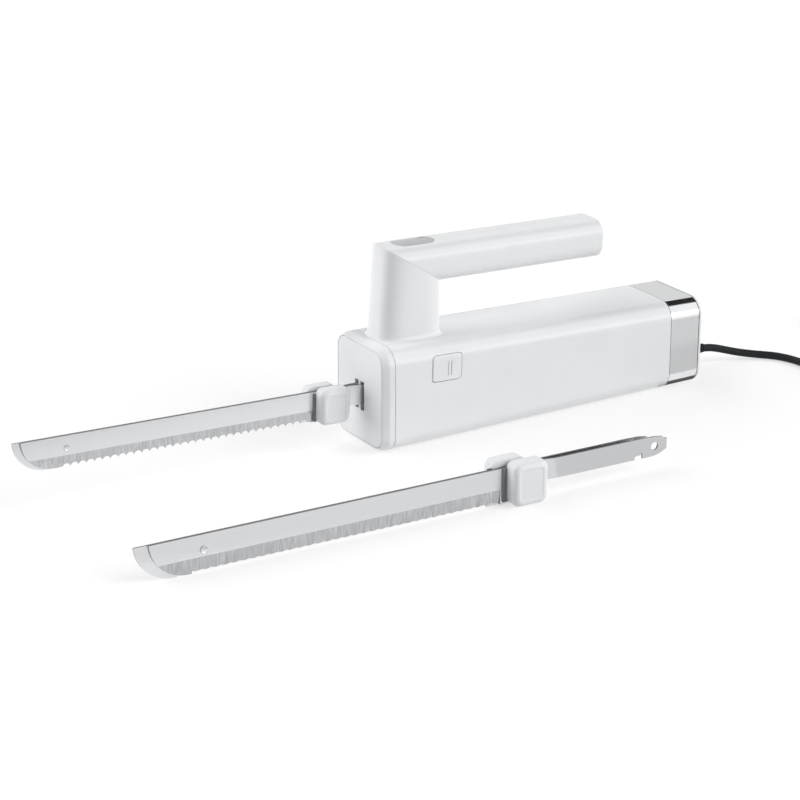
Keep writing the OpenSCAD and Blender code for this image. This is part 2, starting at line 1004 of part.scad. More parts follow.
slots = 10;
module motor_rotor() {
    core_x = motor_x + motor_len / 5;
    core_len = motor_len / 2;
    color("dimgray")
        tipped()
            difference() {
                union() {
                    rod_x(core_x, core_len, 0, shaft_h, rotor_r);
                    // Commutator
                    rod_x(core_x + core_len - skin, motor_len / 5, 0, shaft_h, rotor_r / 2);
                }
                for (i = [0 : slots - 1])
                    translate([core_x - cut, 0, shaft_h])
                        rotate([360 * i / slots, 0, 0])
                            translate([0, rotor_r * 0.55, -can_t / 2])
                                cube([core_len + cut, rotor_r, can_t]);
                rod_x(motor_x, motor_len, 0, shaft_h, shaft_r + press);
            }
}

module motor_shaft() {
    color("silver")
        tipped()
            rod_x(bridge_x, motor_x + motor_len + 2 * bell_t - bridge_x, 0, shaft_h, shaft_r);
}

cradle_w = 26;
cradle_half = 20;
cradle_foot = 4;
module motor_cradle() {
    x0 = motor_x + (motor_len - cradle_w) / 2;
    color("white")
        tipped()
            intersection() {
                rotate([0, -tilt, 0])
                    body_prism(0, body_len, wall + seam);
                difference() {
                    translate([x0, -cradle_half, -body_h])
                        cube([cradle_w, 2 * cradle_half, body_h + shaft_h - cradle_foot]);
                    rod_x(motor_x, motor_len, 0, shaft_h, motor_r + running);
                }
            }
}

module motor_strap() {
    x0 = motor_x + (motor_len - cradle_w / 2) / 2;
    low = shaft_h - cradle_foot;
    color("silver")
        tipped() {
            intersection() {
                difference() {
                    rod_x(x0, cradle_w / 2, 0, shaft_h, motor_r + running + can_t);
                    rod_x(x0 - cut, cradle_w, 0, shaft_h, motor_r + running);
                }
                translate([x0 - cut, -body_w, low])
                    cube([cradle_w, 2 * body_w, body_h]);
            }
            for (side = ["left", "right"])
                on_side(side)
                    translate([x0, motor_r + running + can_t / 2, low])
                        cube([cradle_w / 2, cradle_half - motor_r - can_t / 2, can_t]);
        }
}

board_half = body_w / 2 - wall - board_rib_len - seam;
board_tall = 34;
module filter_board() {
    mid = body_h / 2;
    color("seagreen")
        place() {
            translate([board_x, -board_half - board_rib_len / 2, mid - board_tall / 2])
                cube([board_t, 2 * board_half + board_rib_len, board_tall]);
            for (y = [-board_half / 2, board_half / 2])
                translate([board_x + board_t - skin, y, mid])
                    rotate([0, 90, 0])
                        cylinder(r = board_half / 4, h = board_half * 2 / 3);
            translate([board_x + board_t - skin, -board_half / 2, mid - board_tall / 2 + wall])
                cube([board_half / 3, board_half, board_half / 3]);
        }
}

// Blades

// Side view of a blade and its tang, guard's rear at zero and the edge's line at zero
module blade_profile(length, height, tip, front) {
    low = height - tang_h;
    end = tang_len;
    start = -front - length + tip_set(tip, height);
    difference() {
        union() {
            polygon(concat([[start, 0], [-joggle_start, 0], [-joggle_start, low]],
                [for (i = [0 : tang_arc_steps])
                    let (a = tang_arc * i / tang_arc_steps)
                    [end + tang_end_r * (sin(a) - sin(tang_arc)), low + tang_end_r * (1 - cos(a))]],
                [[end, height - tang_step - tang_ease],
                    [end - tang_step, height - tang_step - tang_ease],
                    [end - 2 * tang_step, height - tang_ease],
                    [end - tang_shoulder, height - tang_ease / 4],
                    [end - 2 * tang_shoulder, height], [start, height]]));
            intersection() {
                translate([start, tip])
                    circle(tip);
                translate([start - tip, 0])
                    square([2 * tip, height]);
            }
        }
        translate([end - tang_hole_back, low + tang_h / 2])
            circle(tang_hole_r);
        translate([end - notch_back, low - cut])
            square([notch_w, notch_h + cut]);
    }
}

tang_shoulder = 8.3;
tang_step = 1.6;
tang_ease = 1;
tang_end_r = 20.8;
tang_arc = 34;
tang_arc_steps = 6;
// Distance from the blade's tip corner to the middle of its tip's arc
function tip_set(tip, height) = sqrt(pow(tip, 2) - pow(tip - height, 2));

// Plan of a blade: straight to the guard, then in a soft double bend out to the slide's line
module blade_plan(reach) {
    bend = [for (i = [0 : joggle_steps])
        let (t = i / joggle_steps)
        [joggle_start + joggle_len * t, blade_gap + (tang_y - blade_gap) * smooth(t)]];
    inner = concat([[-reach, blade_gap]], bend, [[tang_len, tang_y]]);
    polygon(concat(inner, [for (i = [len(inner) - 1 : -1 : 0]) inner[i] + [0, blade_t]]));
}

module blade_solid(length, height, tip, bevel, front) {
    reach = front + length + tip;
    difference() {
        intersection() {
            along_y(-cut, tang_y + blade_t + 2 * cut)
                difference() {
                    blade_profile(length, height, tip, front);
                    children();
                }
            along_z(-cut, height + 2 * cut)
                blade_plan(reach);
        }
        // Ground face down to the edge
        along_x(-reach, reach - front)
            polygon([[blade_gap + blade_t, bevel], [blade_gap + edge_t, 0], [blade_gap + edge_t, -cut],
                [blade_gap + 2 * blade_t, -cut], [blade_gap + 2 * blade_t, bevel]]);
    }
}

// Scallops of the fitted pair
module scallops() {
    half = (tooth_pitch - tooth_land) / 2;
    r = (pow(half, 2) + pow(tooth_depth, 2)) / (2 * tooth_depth);
    count = floor(tooth_run / tooth_pitch);
    for (i = [0 : count - 1])
        translate([-guard_len - tooth_start - (count - i - 0.5) * tooth_pitch, tooth_depth - r])
            circle(r);
}

// Waves of the second pair, cut between low bumps
module waves() {
    count = floor(wave_run / wave_pitch);
    half = (wave_pitch - tooth_land) / 2;
    r = (pow(half, 2) + pow(wave_depth, 2)) / (2 * wave_depth);
    difference() {
        translate([-spare_guard_len - count * wave_pitch, -cut])
            square([count * wave_pitch, spare_step_h + cut]);
        for (i = [0 : count - 1])
            translate([-spare_guard_len - (i + 0.5) * wave_pitch, spare_step_h - wave_depth + r])
                circle(r);
    }
}

rivet_slot_play = 0.3;
// Slot in which the rivet of the other blade runs
module rivet_slot(x, h, r) {
    half = stroke;
    translate([-x - half, h - r - rivet_slot_play])
        square([2 * half, 2 * (r + rivet_slot_play)]);
    for (end = [-half, half])
        translate([-x + end, h])
            circle(r + rivet_slot_play);
}

module fitted_place(side) {
    shift = side == "left" ? 0 : -2 * rest_shift;
    tipped()
        translate([guard_back + shift, 0, edge_lift])
            on_side(side)
                children();
}

module spare_place(side) {
    shift = side == "left" ? 0 : -spare_shift;
    place()
        translate([spare_x, spare_y, 0])
            rotate([0, 0, spare_turn])
                translate([spare_first + shift, 0, 0])
                    on_side(side)
                        children();
}

// Distance from the guard's rear to the rivet
rivet_back = guard_len + rivet_x;
spare_rivet_back = spare_guard_len + spare_rivet_x;

module blade_left() {
    color("gainsboro")
        fitted_place("left")
            blade_solid(blade_len, blade_h, tip_r, bevel_h, guard_len) {
                scallops();
                translate([-rivet_back, rivet_h])
                    circle(rivet_r + press);
            }
}

module blade_right() {
    color("gainsboro")
        fitted_place("right")
            blade_solid(blade_len, blade_h, tip_r, bevel_h, guard_len) {
                scallops();
                rivet_slot(rivet_back, rivet_h, rivet_r);
            }
}

module spare_blade_left() {
    color("gainsboro")
        spare_place("left")
            blade_solid(spare_len, spare_h, spare_tip_r, spare_bevel_h, spare_guard_len) {
                waves();
                translate([-spare_rivet_back, spare_rivet_h])
                    circle(spare_rivet_r + press);
            }
}

module spare_blade_right() {
    color("gainsboro")
        spare_place("right")
            blade_solid(spare_len, spare_h, spare_tip_r, spare_bevel_h, spare_guard_len) {
                waves();
                rivet_slot(spare_rivet_back, spare_rivet_h, spare_rivet_r);
            }
}

// Rivet through both blades, with a wider head outside each
module rivet(x, h, r) {
    half = blade_gap + blade_t;
    rod_y(-x, h, -half - rivet_head, 2 * half + rivet_head, r);
    rod_y(-x, h, half, rivet_head / 2, r);
    rod_y(-x, h, -half - play / 2 - rivet_head, rivet_head, r * 3 / 2);
}

module blade_rivet() {
    color("silver")
        fitted_place("left")
            rivet(rivet_back, rivet_h, rivet_r);
}

module spare_rivet() {
    color("silver")
        spare_place("left")
            rivet(spare_rivet_back, spare_rivet_h, spare_rivet_r);
}

// Half guard on the outer face of its blade, its block drawn in slice by slice towards the outer face
module guard_slice(y, thick, length, low, height, inset) {
    along_y(y, thick)
        translate([inset - length, low + inset])
            rounded(length - 2 * inset, height - 2 * inset, guard_corner, $fn = 32);
}

module guard(length, lip, low, height, width) {
    inner = blade_gap + blade_t;
    block = length - lip;
    flat = width - guard_round;
    difference() {
        union() {
            hull() {
                guard_slice(inner, flat - inner, block, low, height, 0);
                for (a = [30, 60])
                    guard_slice(flat + guard_round * sin(a), skin, block, low, height,
                        guard_round * (1 - cos(a)));
                guard_slice(width - skin, skin, block, low, height, guard_round * (1 - cos(75)));
            }
            translate([-length, inner + running, low + lip_foot])
                cube([lip + guard_corner, lip_t, height - lip_step - lip_foot]);
        }
        along_y(width - panel_depth, 2 * panel_depth)
            translate([guard_corner - block, low + guard_corner])
                rounded(block - 2 * guard_corner, height - 2 * guard_corner, guard_corner / 2);
    }
}

module guard_left() {
    color("whitesmoke")
        fitted_place("left")
            guard(guard_len, guard_lip, -guard_drop, guard_h, guard_w);
}

module guard_right() {
    color("whitesmoke")
        fitted_place("right")
            guard(guard_len, guard_lip, -guard_drop, guard_h, guard_w);
}

module spare_guard_left() {
    color("whitesmoke")
        spare_place("left")
            guard(spare_guard_len, spare_guard_lip, 0, spare_guard_h, spare_guard_w);
}

module spare_guard_right() {
    color("whitesmoke")
        spare_place("right")
            guard(spare_guard_len, spare_guard_lip, 0, spare_guard_h, spare_guard_w);
}

// Lead

module strain_relief() {
    color("black")
        place()
            translate([body_len, 0, exit_z])
                rotate([0, 90, 0])
                    rotate_extrude()
                        polygon([[cord_d / 2 + running, -relief_in], [relief_r + can_t, -relief_in],
                            [relief_r + can_t, seam - rear_cap_len - play],
                            [relief_r - running, seam - rear_cap_len - play], [relief_r - running, 0],
                            [relief_r, seam], [relief_end_r, relief_len],
                            [cord_d / 2 + running, relief_len]]);
}

// The lead starts inside the relief and ends against the coil
coil_start = [coil_x - coil_outer_r, coil_y + cord_d, coil_z];
lead_path = concat([[body_len - relief_in, 0, exit_z], [body_len + relief_len / 2, 0, exit_z]], lead_route,
    [coil_start + [0, cord_d, 0], coil_start]);

module cord_lead() {
    color("black")
        place()
            tube(lead_path, cord_d / 2, 10);
}

// Coil: spirals in on the table, climbs in the half turn where it turns back and spirals out
ring_steps = 24;
coil_turns = 2 * layer_turns;
function climb(n) = min(max((n - layer_turns) * 2 + 0.5, 0), 1);
function coil_point(n) =
    let (r = coil_inner_r + coil_pitch * sqrt(pow(n - layer_turns, 2) + turn_blend), a = 180 + 360 * n)
    [coil_x + r * cos(a), coil_y + r * sin(a), coil_z + coil_pitch * smooth(climb(n))];
coil_loops = [for (i = [0 : coil_turns * ring_steps]) coil_point(i / ring_steps)];
plug_z = 7;
tail_steps = 4;
coil_last = coil_loops[len(coil_loops) - 1];
tail = [for (i = [1 : tail_steps])
    [coil_last[0], coil_last[1] + tail_len * i / tail_steps,
        coil_last[2] + (plug_z - coil_last[2]) * smooth(i / tail_steps)]];
plug_start = coil_last + [0, tail_len + cord_d, plug_z - coil_last[2]];
coil_path = concat([coil_start], coil_loops, tail, [plug_start]);

// Least distance between two runs of the coil that lie apart along it
apart = 10;
run_gap = min([for (i = [0 : len(coil_path) - 1 - apart], j = [i + apart : len(coil_path) - 1])
    norm(coil_path[i] - coil_path[j])]) - cord_d;
function path_len(path) =
    let (steps = [for (i = [1 : len(path) - 1]) norm(path[i] - path[i - 1])])
    steps * [for (s = steps) 1];

module cord_coil() {
    echo(least_gap_of_the_coil = run_gap);
    echo(lead_length = path_len(lead_path), coil_length = path_len(coil_path));
    color("black")
        place()
            tube(coil_path, cord_d / 2, 6);
}

// Band round the turns
module coil_tie() {
    low = coil_z - cord_d / 2 - play / 2;
    tall = cord_d + coil_pitch + play;
    inner = coil_inner_r - cord_d / 2 - play;
    span = coil_outer_r - coil_inner_r + cord_d + coil_pitch / 2 + 2 * play;
    color("dimgray")
        place()
            translate([coil_x, coil_y, 0])
                rotate([0, 0, -90])
                    along_y(-tie_w / 2, tie_w)
                        translate([inner, low])
                            difference() {
                                translate([-tie_t, -tie_t])
                                    rounded(span + 2 * tie_t, tall + 2 * tie_t, cord_d / 2);
                                rounded(span, tall, cord_d / 2 - tie_t);
                            }
}

plug_w = 35;
plug_tall = 13.7;
plug_len = 26;
plug_neck = 22;
pin_r = 2;
pin_len = 19;
pin_gap = 18.6;
pin_sleeve = 10;
module plug_shape() {
    hull() {
        translate([0, plug_neck, 0])
            rotate([-90, 0, 0])
                linear_extrude(skin)
                    polygon(oval(plug_w / 3, plug_tall / 2.4, 32));
        translate([0, plug_neck + plug_len / 3, 0])
            rotate([-90, 0, 0])
                linear_extrude(plug_len * 2 / 3)
                    polygon(oval(plug_w / 2, plug_tall / 2, 32));
    }
}

module plug_body() {
    color("black")
        place()
            translate(plug_start)
                union() {
                    plug_shape();
                    rotate([-90, 0, 0])
                        rotate_extrude()
                            polygon([[0, seam], [cord_d / 2 + wall / 3, seam],
                                [cord_d / 2 + wall, plug_neck + skin], [0, plug_neck + skin]]);
                }
}

module plug_pins() {
    color("silver")
        place()
            translate(plug_start + [0, plug_neck + plug_len, 0])
                for (x = [-pin_gap / 2, pin_gap / 2])
                    translate([x, 0, 0])
                        rotate([-90, 0, 0]) {
                            cylinder(r = pin_r, h = pin_len - pin_r);
                            translate([0, 0, pin_len - pin_r])
                                sphere(pin_r);
                        }
}

housing_left();
housing_right();
front_cap();
front_plate();
chrome_band();
end_cap();
handle_left();
handle_right();
power_button();
power_spring();
microswitch();
release_button();
release_spring();
frame_left();
frame_right();
frame_screws();
slide_left();
slide_right();
catch_left();
catch_right();
worm_gear();
gear_axle();
worm();
shaft_bushes();
cooling_fan();
motor_can();
motor_magnets();
motor_front_bell();
motor_rear_bell();
motor_rotor();
motor_shaft();
motor_cradle();
motor_strap();
filter_board();
blade_left();
blade_right();
blade_rivet();
guard_left();
guard_right();
spare_blade_left();
spare_blade_right();
spare_rivet();
spare_guard_left();
spare_guard_right();
strain_relief();
cord_lead();
cord_coil();
coil_tie();
plug_body();
plug_pins();
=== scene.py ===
"""Looks of an electric carving knife.

Finishes for every CAD node, smooth mouldings in the place of the faceted ones, and the lead.
"""

import json
import math

import bmesh
import bpy
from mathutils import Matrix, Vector


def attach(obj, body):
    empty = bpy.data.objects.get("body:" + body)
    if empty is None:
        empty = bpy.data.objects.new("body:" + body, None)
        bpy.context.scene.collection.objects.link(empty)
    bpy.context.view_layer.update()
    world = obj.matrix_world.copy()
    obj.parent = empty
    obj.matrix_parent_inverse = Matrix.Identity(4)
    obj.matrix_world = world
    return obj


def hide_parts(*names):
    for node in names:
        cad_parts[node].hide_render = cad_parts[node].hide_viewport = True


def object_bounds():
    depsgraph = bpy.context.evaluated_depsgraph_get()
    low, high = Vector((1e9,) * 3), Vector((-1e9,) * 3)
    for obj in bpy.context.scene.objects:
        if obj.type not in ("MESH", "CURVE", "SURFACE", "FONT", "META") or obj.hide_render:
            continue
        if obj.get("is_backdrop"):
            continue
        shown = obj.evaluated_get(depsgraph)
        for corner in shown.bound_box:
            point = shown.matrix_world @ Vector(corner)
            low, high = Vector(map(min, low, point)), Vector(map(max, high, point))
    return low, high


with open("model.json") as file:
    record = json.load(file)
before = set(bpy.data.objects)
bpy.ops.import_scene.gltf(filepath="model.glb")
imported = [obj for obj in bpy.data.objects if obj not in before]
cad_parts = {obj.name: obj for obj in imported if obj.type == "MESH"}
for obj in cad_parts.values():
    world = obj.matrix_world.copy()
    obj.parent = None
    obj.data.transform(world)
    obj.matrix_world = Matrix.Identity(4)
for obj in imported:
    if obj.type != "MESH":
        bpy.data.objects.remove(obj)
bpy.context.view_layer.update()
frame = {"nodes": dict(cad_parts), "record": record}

# Sizes are in millimetres, as in the part's source. The helpers that make meshes turn them into
# metres. Camera, light and stage are in metres.
MM = 0.001

# Body: the top slopes down from the front face to the rear face
BODY_LEN = 240.0
BODY_W = 55.3
FRONT_H = 66.0
REAR_H = 57.3
EDGE_R = 11.0
EDGE_STEPS = 12
TILT = math.atan((FRONT_H - REAR_H) / BODY_LEN)
TOP_H = FRONT_H * math.cos(TILT)
WALL = 2.5
# Seam between two mouldings
SEAM = 0.1

# Front cap. Its profile holds setback and inset of the rim, the edge and the slant behind it.
CAP_LEN = 8.5
FRONT_PROFILE = [(0.02, 2.2), (0.12, 1.95), (0.4, 1.66), (0.9, 1.42), (1.6, 1.15), (3.9, 0.2),
                 (4.6, 0.04), (5.4, 0)]
RIM_SETBACK = 0.6
CAP_CHAMFER = 0.4
CAP_INSET = 0.35

# Front panel inside the cap's rim, with the setback and inset of its edge, and its slots
PANEL_RIM = 2.45
PANEL_T = 2.5
PANEL_EDGE = [(0.45, 0), (0.15, 0.12), (0.02, 0.35)]
SLOT_Y = 1.1
SLOT_W = 4.0
SLOT_LOW = 21.75
SLOT_H = 18.5

# Chrome band and end cap. The edges hold distance along the body and inset.
BAND_X = 214.6
CHROME_T = 1.2
BAND_EDGE = [(0, 0.3), (0.1, 0.1), (0.35, 0)]
REAR_X = 237.1
REAR_EDGE = [(0, 0.35), (0.1, 0.1), (0.35, 0)]
REAR_ROUND = 2.0
REAR_STEPS = 8
# Black ring at each end of the band, painted shade in the seam
LINE_W = 0.5
LINE_INSET = 0.02

# Handle, in the frame that tips with the body's top
BAR_H = TOP_H + 44.8
BAR_TALL_HALF = 12.3
BAR_WIDE_HALF = 15.0
BAR_END = 165.6
POST_FRONT = 7.2
POST_LEN = 43.0
MITRE_X = (9.1, 48.8)
MITRE_ROUND = 0.5
CREASE_W = 0.18
CREASE_DEPTH = 0.22
FOOT_FLARE = 1.6
FLARE_H = 3.0
FLARE_STEPS = 6
HANDLE_POWER = 3.2
HANDLE_SIDES = 96
HANDLE_ROUND = 2.5
HANDLE_STEPS = 6

# Opening of the power button, with a round end to the rear and a shallow nose to the front
BUTTON_X = 19.1
BUTTON_LEN = 28.0
BUTTON_HALF = 7.0
BUTTON_NOSE = 7.85
BUTTON_PLAY = 0.25
BUTTON_STEPS = 16

# Side button
RELEASE_X = 43.2
RELEASE_H = 49.9
RELEASE_W = 20.9
RELEASE_TALL = 16.5
RELEASE_CORNER = 2.5
CORNER_STEPS = 8
RELEASE_PROUD = 0.35
RELEASE_ROUND = 0.7
ROUND_STEPS = 6
RELEASE_PLAY = 0.3
FLANGE_T = 1.5
FACE_SHARES = (0.86, 0.76, 0.64, 0.5, 0.36, 0.22, 0.1)
# Two grooves in its face: place, width and depth of each, and their reach
GROOVES = ((43.8, 0.75, 0.35), (46.1, 0.55, 0.6))
GROOVE_DOWN = 5.2
GROOVE_UP = 4.2
GROOVE_STEPS = 4
# Least flat between two roundings, and the overrun of a cutter
SKIN = 0.01
OVERRUN = 2

# Stem behind the side button and the finger that it pushes
STEM_R = 3.0
STEM_END = 12.3
STEM_TURN = math.radians(2)
FINGER_X = 55.4
FINGER_W = 5.4
FINGER_T = 2.5
FINGER_LOW = 14.95
ARM_CORNER = 0.8
SLIDE_W = 6.2

# Blade pairs: the fitted one in the tipped frame, the other turned on the table
EDGE_LIFT = 19.5
GUARD_BACK = -12.4
REST_SHIFT = 2.3
SPARE_AT = (-172.2, -115.7)
SPARE_TURN = math.radians(-2.43)
SPARE_FIRST = 217.35
SPARE_SHIFT = 8.4

# Rivets: radius of heads and shank as shares of the plain solid's head. The profile of a dished
# head holds height over the plain head's end and share of the radius.
HEAD_SHARE = 0.8
SHANK_SHARE = 2 / 3
HEAD_MIDDLE = (-0.35, 0.01)
HEAD_PROFILE = [(-0.33, 0.4), (-0.18, 0.66), (0.1, 0.82), (0.1, 0.94), (0, 1), (-0.6, 1)]

# Guards: length with the lip, lip's length, lowest edge, height and width from the blades' middle
FITTED_GUARD = (21.8, 1.2, -1.3, 22.3, 9.7)
SPARE_GUARD = (25.5, 2.6, 0.0, 26.0, 11.4)
GUARD_INNER = 1.2
GUARD_CORNER = 4.4
GUARD_EDGE = 0.3
GUARD_ROUND = 3.2
GUARD_STEPS = 10
# Share of the rounding that is drawn, and how much of its inset the corners lose
ROUND_SHARE = 0.8
CORNER_SHARE = 0.3
# Groove round the flat of a guard: inset past the rounding, depth and corner radius
GUARD_FLAT = [(0, 0, 2.4), (0.5, 0.02, 2.2), (0.9, 0.22, 2), (1.3, 0.25, 1.8)]
# Lip: its profile holds inset and distance from the blade's face
LIP_FOOT = 1.3
LIP_STEP = 3.5
LIP_OVERLAP = 1
LIP_CORNER = 0.5
LIP_STEPS = 3
LIP_PROFILE = [(0.15, 0.05), (0, 0.2), (0, 0.85), (0.35, 1.25)]

# Lead: exit, route on the table, coil and tail, as in the part's source
CORD_D = 5.0
EXIT_Z = 11.5
LEAD_ROUTE = [(264, 0, 11.5), (272, -0.5, 10.2), (280, -2, 7.7), (288, -4, 5.2), (296, -7, 3.5),
              (303, -11, 2.6), (308.5, -16, 2.5), (312.5, -22, 2.5), (315, -29, 2.5),
              (316.5, -37, 2.6), (316.8, -46, 2.8), (316.4, -56, 3.2)]
COIL_X = 355.0
COIL_Y = -75.0
COIL_INNER_R = 20.8
COIL_PITCH = CORD_D + 0.6
COIL_Z = 3.4
TURN_BLEND = 0.01
LAYER_TURNS = 3.25
RING_STEPS = 24
TAIL_LEN = 36.0
TAIL_STEPS = 4

# Relief and plug. A profile holds distance along the lead and radius, and ribs hold start, end,
# radius at each, count and depth.
RELIEF_IN = 9.0
RELIEF_LEN = 24.0
RELIEF_ROOT = [(-RELIEF_IN, CORD_D / 2), (-RELIEF_IN, 5.8), (-3.1, 5.8), (-3.1, 4.55), (0, 4.55),
               (0.1, 4.6), (3, 4.45)]
RELIEF_RIBS = (3, RELIEF_LEN - 1.5, 4.45, 2.93, 7, 0.7)
RELIEF_TIP = [(RELIEF_LEN - 0.3, 2.85), (RELIEF_LEN, 2.55), (RELIEF_LEN, CORD_D / 2)]
PLUG_NECK = 22.0
NECK_ROOT = [(0.1, CORD_D / 2), (0.1, 3.2), (2, 3.35)]
NECK_RIBS = (2, PLUG_NECK - 3, 3.35, 4.7, 6, 0.6)
NECK_TIP = [(PLUG_NECK + 1, 5), (PLUG_NECK + 1, CORD_D / 2)]
RIB_STEPS = 8
PLUG_Z = 7.0
PLUG_W = 35.0
PLUG_TALL = 13.7
PLUG_LEN = 26.0
PLUG_POWER = 2.4
PLUG_SIDES = 64
# Distance along the plug, and shares of its width and height
PLUG_STATIONS = [(0, 0.5, 0.66), (0.3, 0.62, 0.78), (1.2, 0.667, 0.833),
                 (PLUG_LEN / 3, 0.96, 0.97), (PLUG_LEN / 3 + 2, 1, 1), (PLUG_LEN - 1.2, 1, 1),
                 (PLUG_LEN - 0.3, 0.975, 0.94), (PLUG_LEN, 0.93, 0.84)]

# Angles, in degrees, above which an edge shades sharp
SHARP = 35
SHARP_NODE = 32
SHARP_BLADE = 5
SHARP_ROUND = 50
SHARP_GUARD = 60

# Camera, fitted to the straight edges of the body in the photograph
CAMERA_AT = (-0.8569, -1.2268, 0.5696)
CAMERA_TURN = (69.252, 0.0, -31.969)
LENS = 113.97
SENSOR = 36.0
CLIP_END = 20

# Lamps: azimuth, elevation and width in degrees, and level. At level 1 a white card square to
# one shows white.
LAMPS = {"left_light": (137, 28, 80, 1.05), "right_light": (-46, 30, 50, 0.88)}
WORLD_LEVEL = 0.08
WORLD_BLUE = 1.01

# Floor: colours, and the glow that makes it white to the camera but not to what stands on it
FLOOR_HALF = 4.0
FLOOR_Z = -0.0003
FLOOR_TONES = (0.42, 0.43)
FLOOR_CLOUD = 0.2
FLOOR_GLOW = 0.6
FLOOR_BOUNCE = 0.33
CARD_Z = 0.001


def placed(x, y, z):
    """Point measured from the front face, in the row frame."""
    return Vector((x - BODY_LEN / 2, y, z))


def tipped(u, y, h):
    """Point of the frame that tips with the body's top, in the row frame."""
    c, s = math.cos(TILT), math.sin(TILT)
    return placed(u * c + h * s, y, h * c - u * s)


def fitted(side):
    """Places a point of a fitted blade.

    x counts from its guard's rear, y away from the other blade and z from its edge.
    """
    turn, shift = (-1, 0) if side == "left" else (1, -2 * REST_SHIFT)
    return lambda x, y, z: tipped(GUARD_BACK + shift + x, turn * y, EDGE_LIFT + z)


def spare(side):
    """The same for a blade of the pair on the table."""
    turn, shift = (-1, 0) if side == "left" else (1, -SPARE_SHIFT)
    c, s = math.cos(SPARE_TURN), math.sin(SPARE_TURN)

    def place(x, y, z):
        x, y = SPARE_FIRST + shift + x, turn * y
        return placed(SPARE_AT[0] + x * c - y * s, SPARE_AT[1] + x * s + y * c, z)
    return place


def smooth_step(t):
    return t * t * (3 - 2 * t)


# Meshes

def new_object(name, points, faces, sharp_angle=SHARP):
    """Mesh object from points in millimetres, smooth but for the edges above sharp_angle."""
    mesh = bpy.data.meshes.new(name)
    mesh.from_pydata([tuple(p * MM) for p in points], [], faces)
    piece = bpy.data.objects.new(name, mesh)
    bpy.context.scene.collection.objects.link(piece)
    tidy(piece, sharp_angle)
    return piece


def tidy(piece, sharp_angle=SHARP):
    """Outward faces, smooth shading and sharp edges by angle."""
    bm = bmesh.new()
    bm.from_mesh(piece.data)
    bmesh.ops.remove_doubles(bm, verts=bm.verts, dist=1e-6)
    bmesh.ops.recalc_face_normals(bm, faces=bm.faces)
    bm.to_mesh(piece.data)
    bm.free()
    piece.data.shade_smooth()
    piece.data.set_sharp_from_angle(angle=math.radians(sharp_angle))


def loft(name, rings, cyclic=False, sharp_angle=SHARP):
    """Skin over closed rings of equal count, with capped ends, or joined where it is cyclic."""
    count = len(rings[0])
    points = [p for ring in rings for p in ring]
    faces = []
    last = len(rings) if cyclic else len(rings) - 1
    for i in range(last):
        a, b = i * count, (i + 1) % len(rings) * count
        for k in range(count):
            n = (k + 1) % count
            faces.append((a + k, a + n, b + n, b + k))
    if not cyclic:
        faces.append(tuple(range(count)))
        faces.append(tuple(range(len(points) - count, len(points))))
    return new_object(name, points, faces, sharp_angle)


def lathe(name, profile, place, forward, sides=48, sharp_angle=SHARP):
    """Turned solid: profile holds distance along forward from place, and radius."""
    forward = Vector(forward).normalized()
    across = forward.orthogonal().normalized()
    up = forward.cross(across)
    rings = []
    for along, r in profile:
        ring = []
        for k in range(sides):
            a = 2 * math.pi * k / sides
            ring.append(place + forward * along
                        + across * (r * math.cos(a)) + up * (r * math.sin(a)))
        rings.append(ring)
    return loft(name, rings, sharp_angle=sharp_angle)


def superellipse(half_a, half_b, power, count):
    """Points of a squarish oval."""
    out = []
    for i in range(count):
        t = 2 * math.pi * i / count
        c, s = math.cos(t), math.sin(t)
        out.append((half_a * math.copysign(abs(c) ** (2 / power), c),
                    half_b * math.copysign(abs(s) ** (2 / power), s)))
    return out


def rounded_rect(x0, x1, y0, y1, r, steps):
    """Points of a rectangle with round corners."""
    out = []
    corners = [(x1 - r, y1 - r, 0), (x0 + r, y1 - r, 90), (x0 + r, y0 + r, 180),
               (x1 - r, y0 + r, 270)]
    for cx, cy, start in corners:
        for i in range(steps + 1):
            a = math.radians(start + 90 * i / steps)
            out.append((cx + r * math.cos(a), cy + r * math.sin(a)))
    return out


def rounding(r, steps):
    """Setback and inset along a quarter round, from its side to its end face."""
    out = []
    for i in range(steps + 1):
        a = math.radians(90 * i / steps)
        out.append((r * (1 - math.sin(a)), r * (1 - math.cos(a))))
    return out


def cut_away(piece, *cutters):
    """Takes the cutters' solids from the piece and removes them."""
    for cutter in cutters:
        modifier = piece.modifiers.new("cut", "BOOLEAN")
        modifier.operation = "DIFFERENCE"
        modifier.solver = "MANIFOLD"
        modifier.object = cutter
    graph = bpy.context.evaluated_depsgraph_get()
    made = bpy.data.meshes.new_from_object(piece.evaluated_get(graph))
    piece.modifiers.clear()
    piece.data = made
    for cutter in cutters:
        bpy.data.objects.remove(cutter)
    tidy(piece)


def finish_piece(piece, slot, *nodes, body="body"):
    """Puts a piece in the place of CAD nodes, on their body, with the finish of their slot."""
    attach(piece, body)
    if nodes:
        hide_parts(*nodes)
    piece.data.materials.clear()
    piece.data.materials.append(MATERIALS[slot])
    if piece.type == "MESH":
        # Large faces keep their own shading beside narrow roundings
        piece.modifiers.new("even_shading", "WEIGHTED_NORMAL").keep_sharp = True


def add_piece(piece, slot, body="body"):
    """Adds a piece that stands beside one that replaces a node."""
    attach(piece, body)
    piece.data.materials.append(MATERIALS[slot])


# Finishes

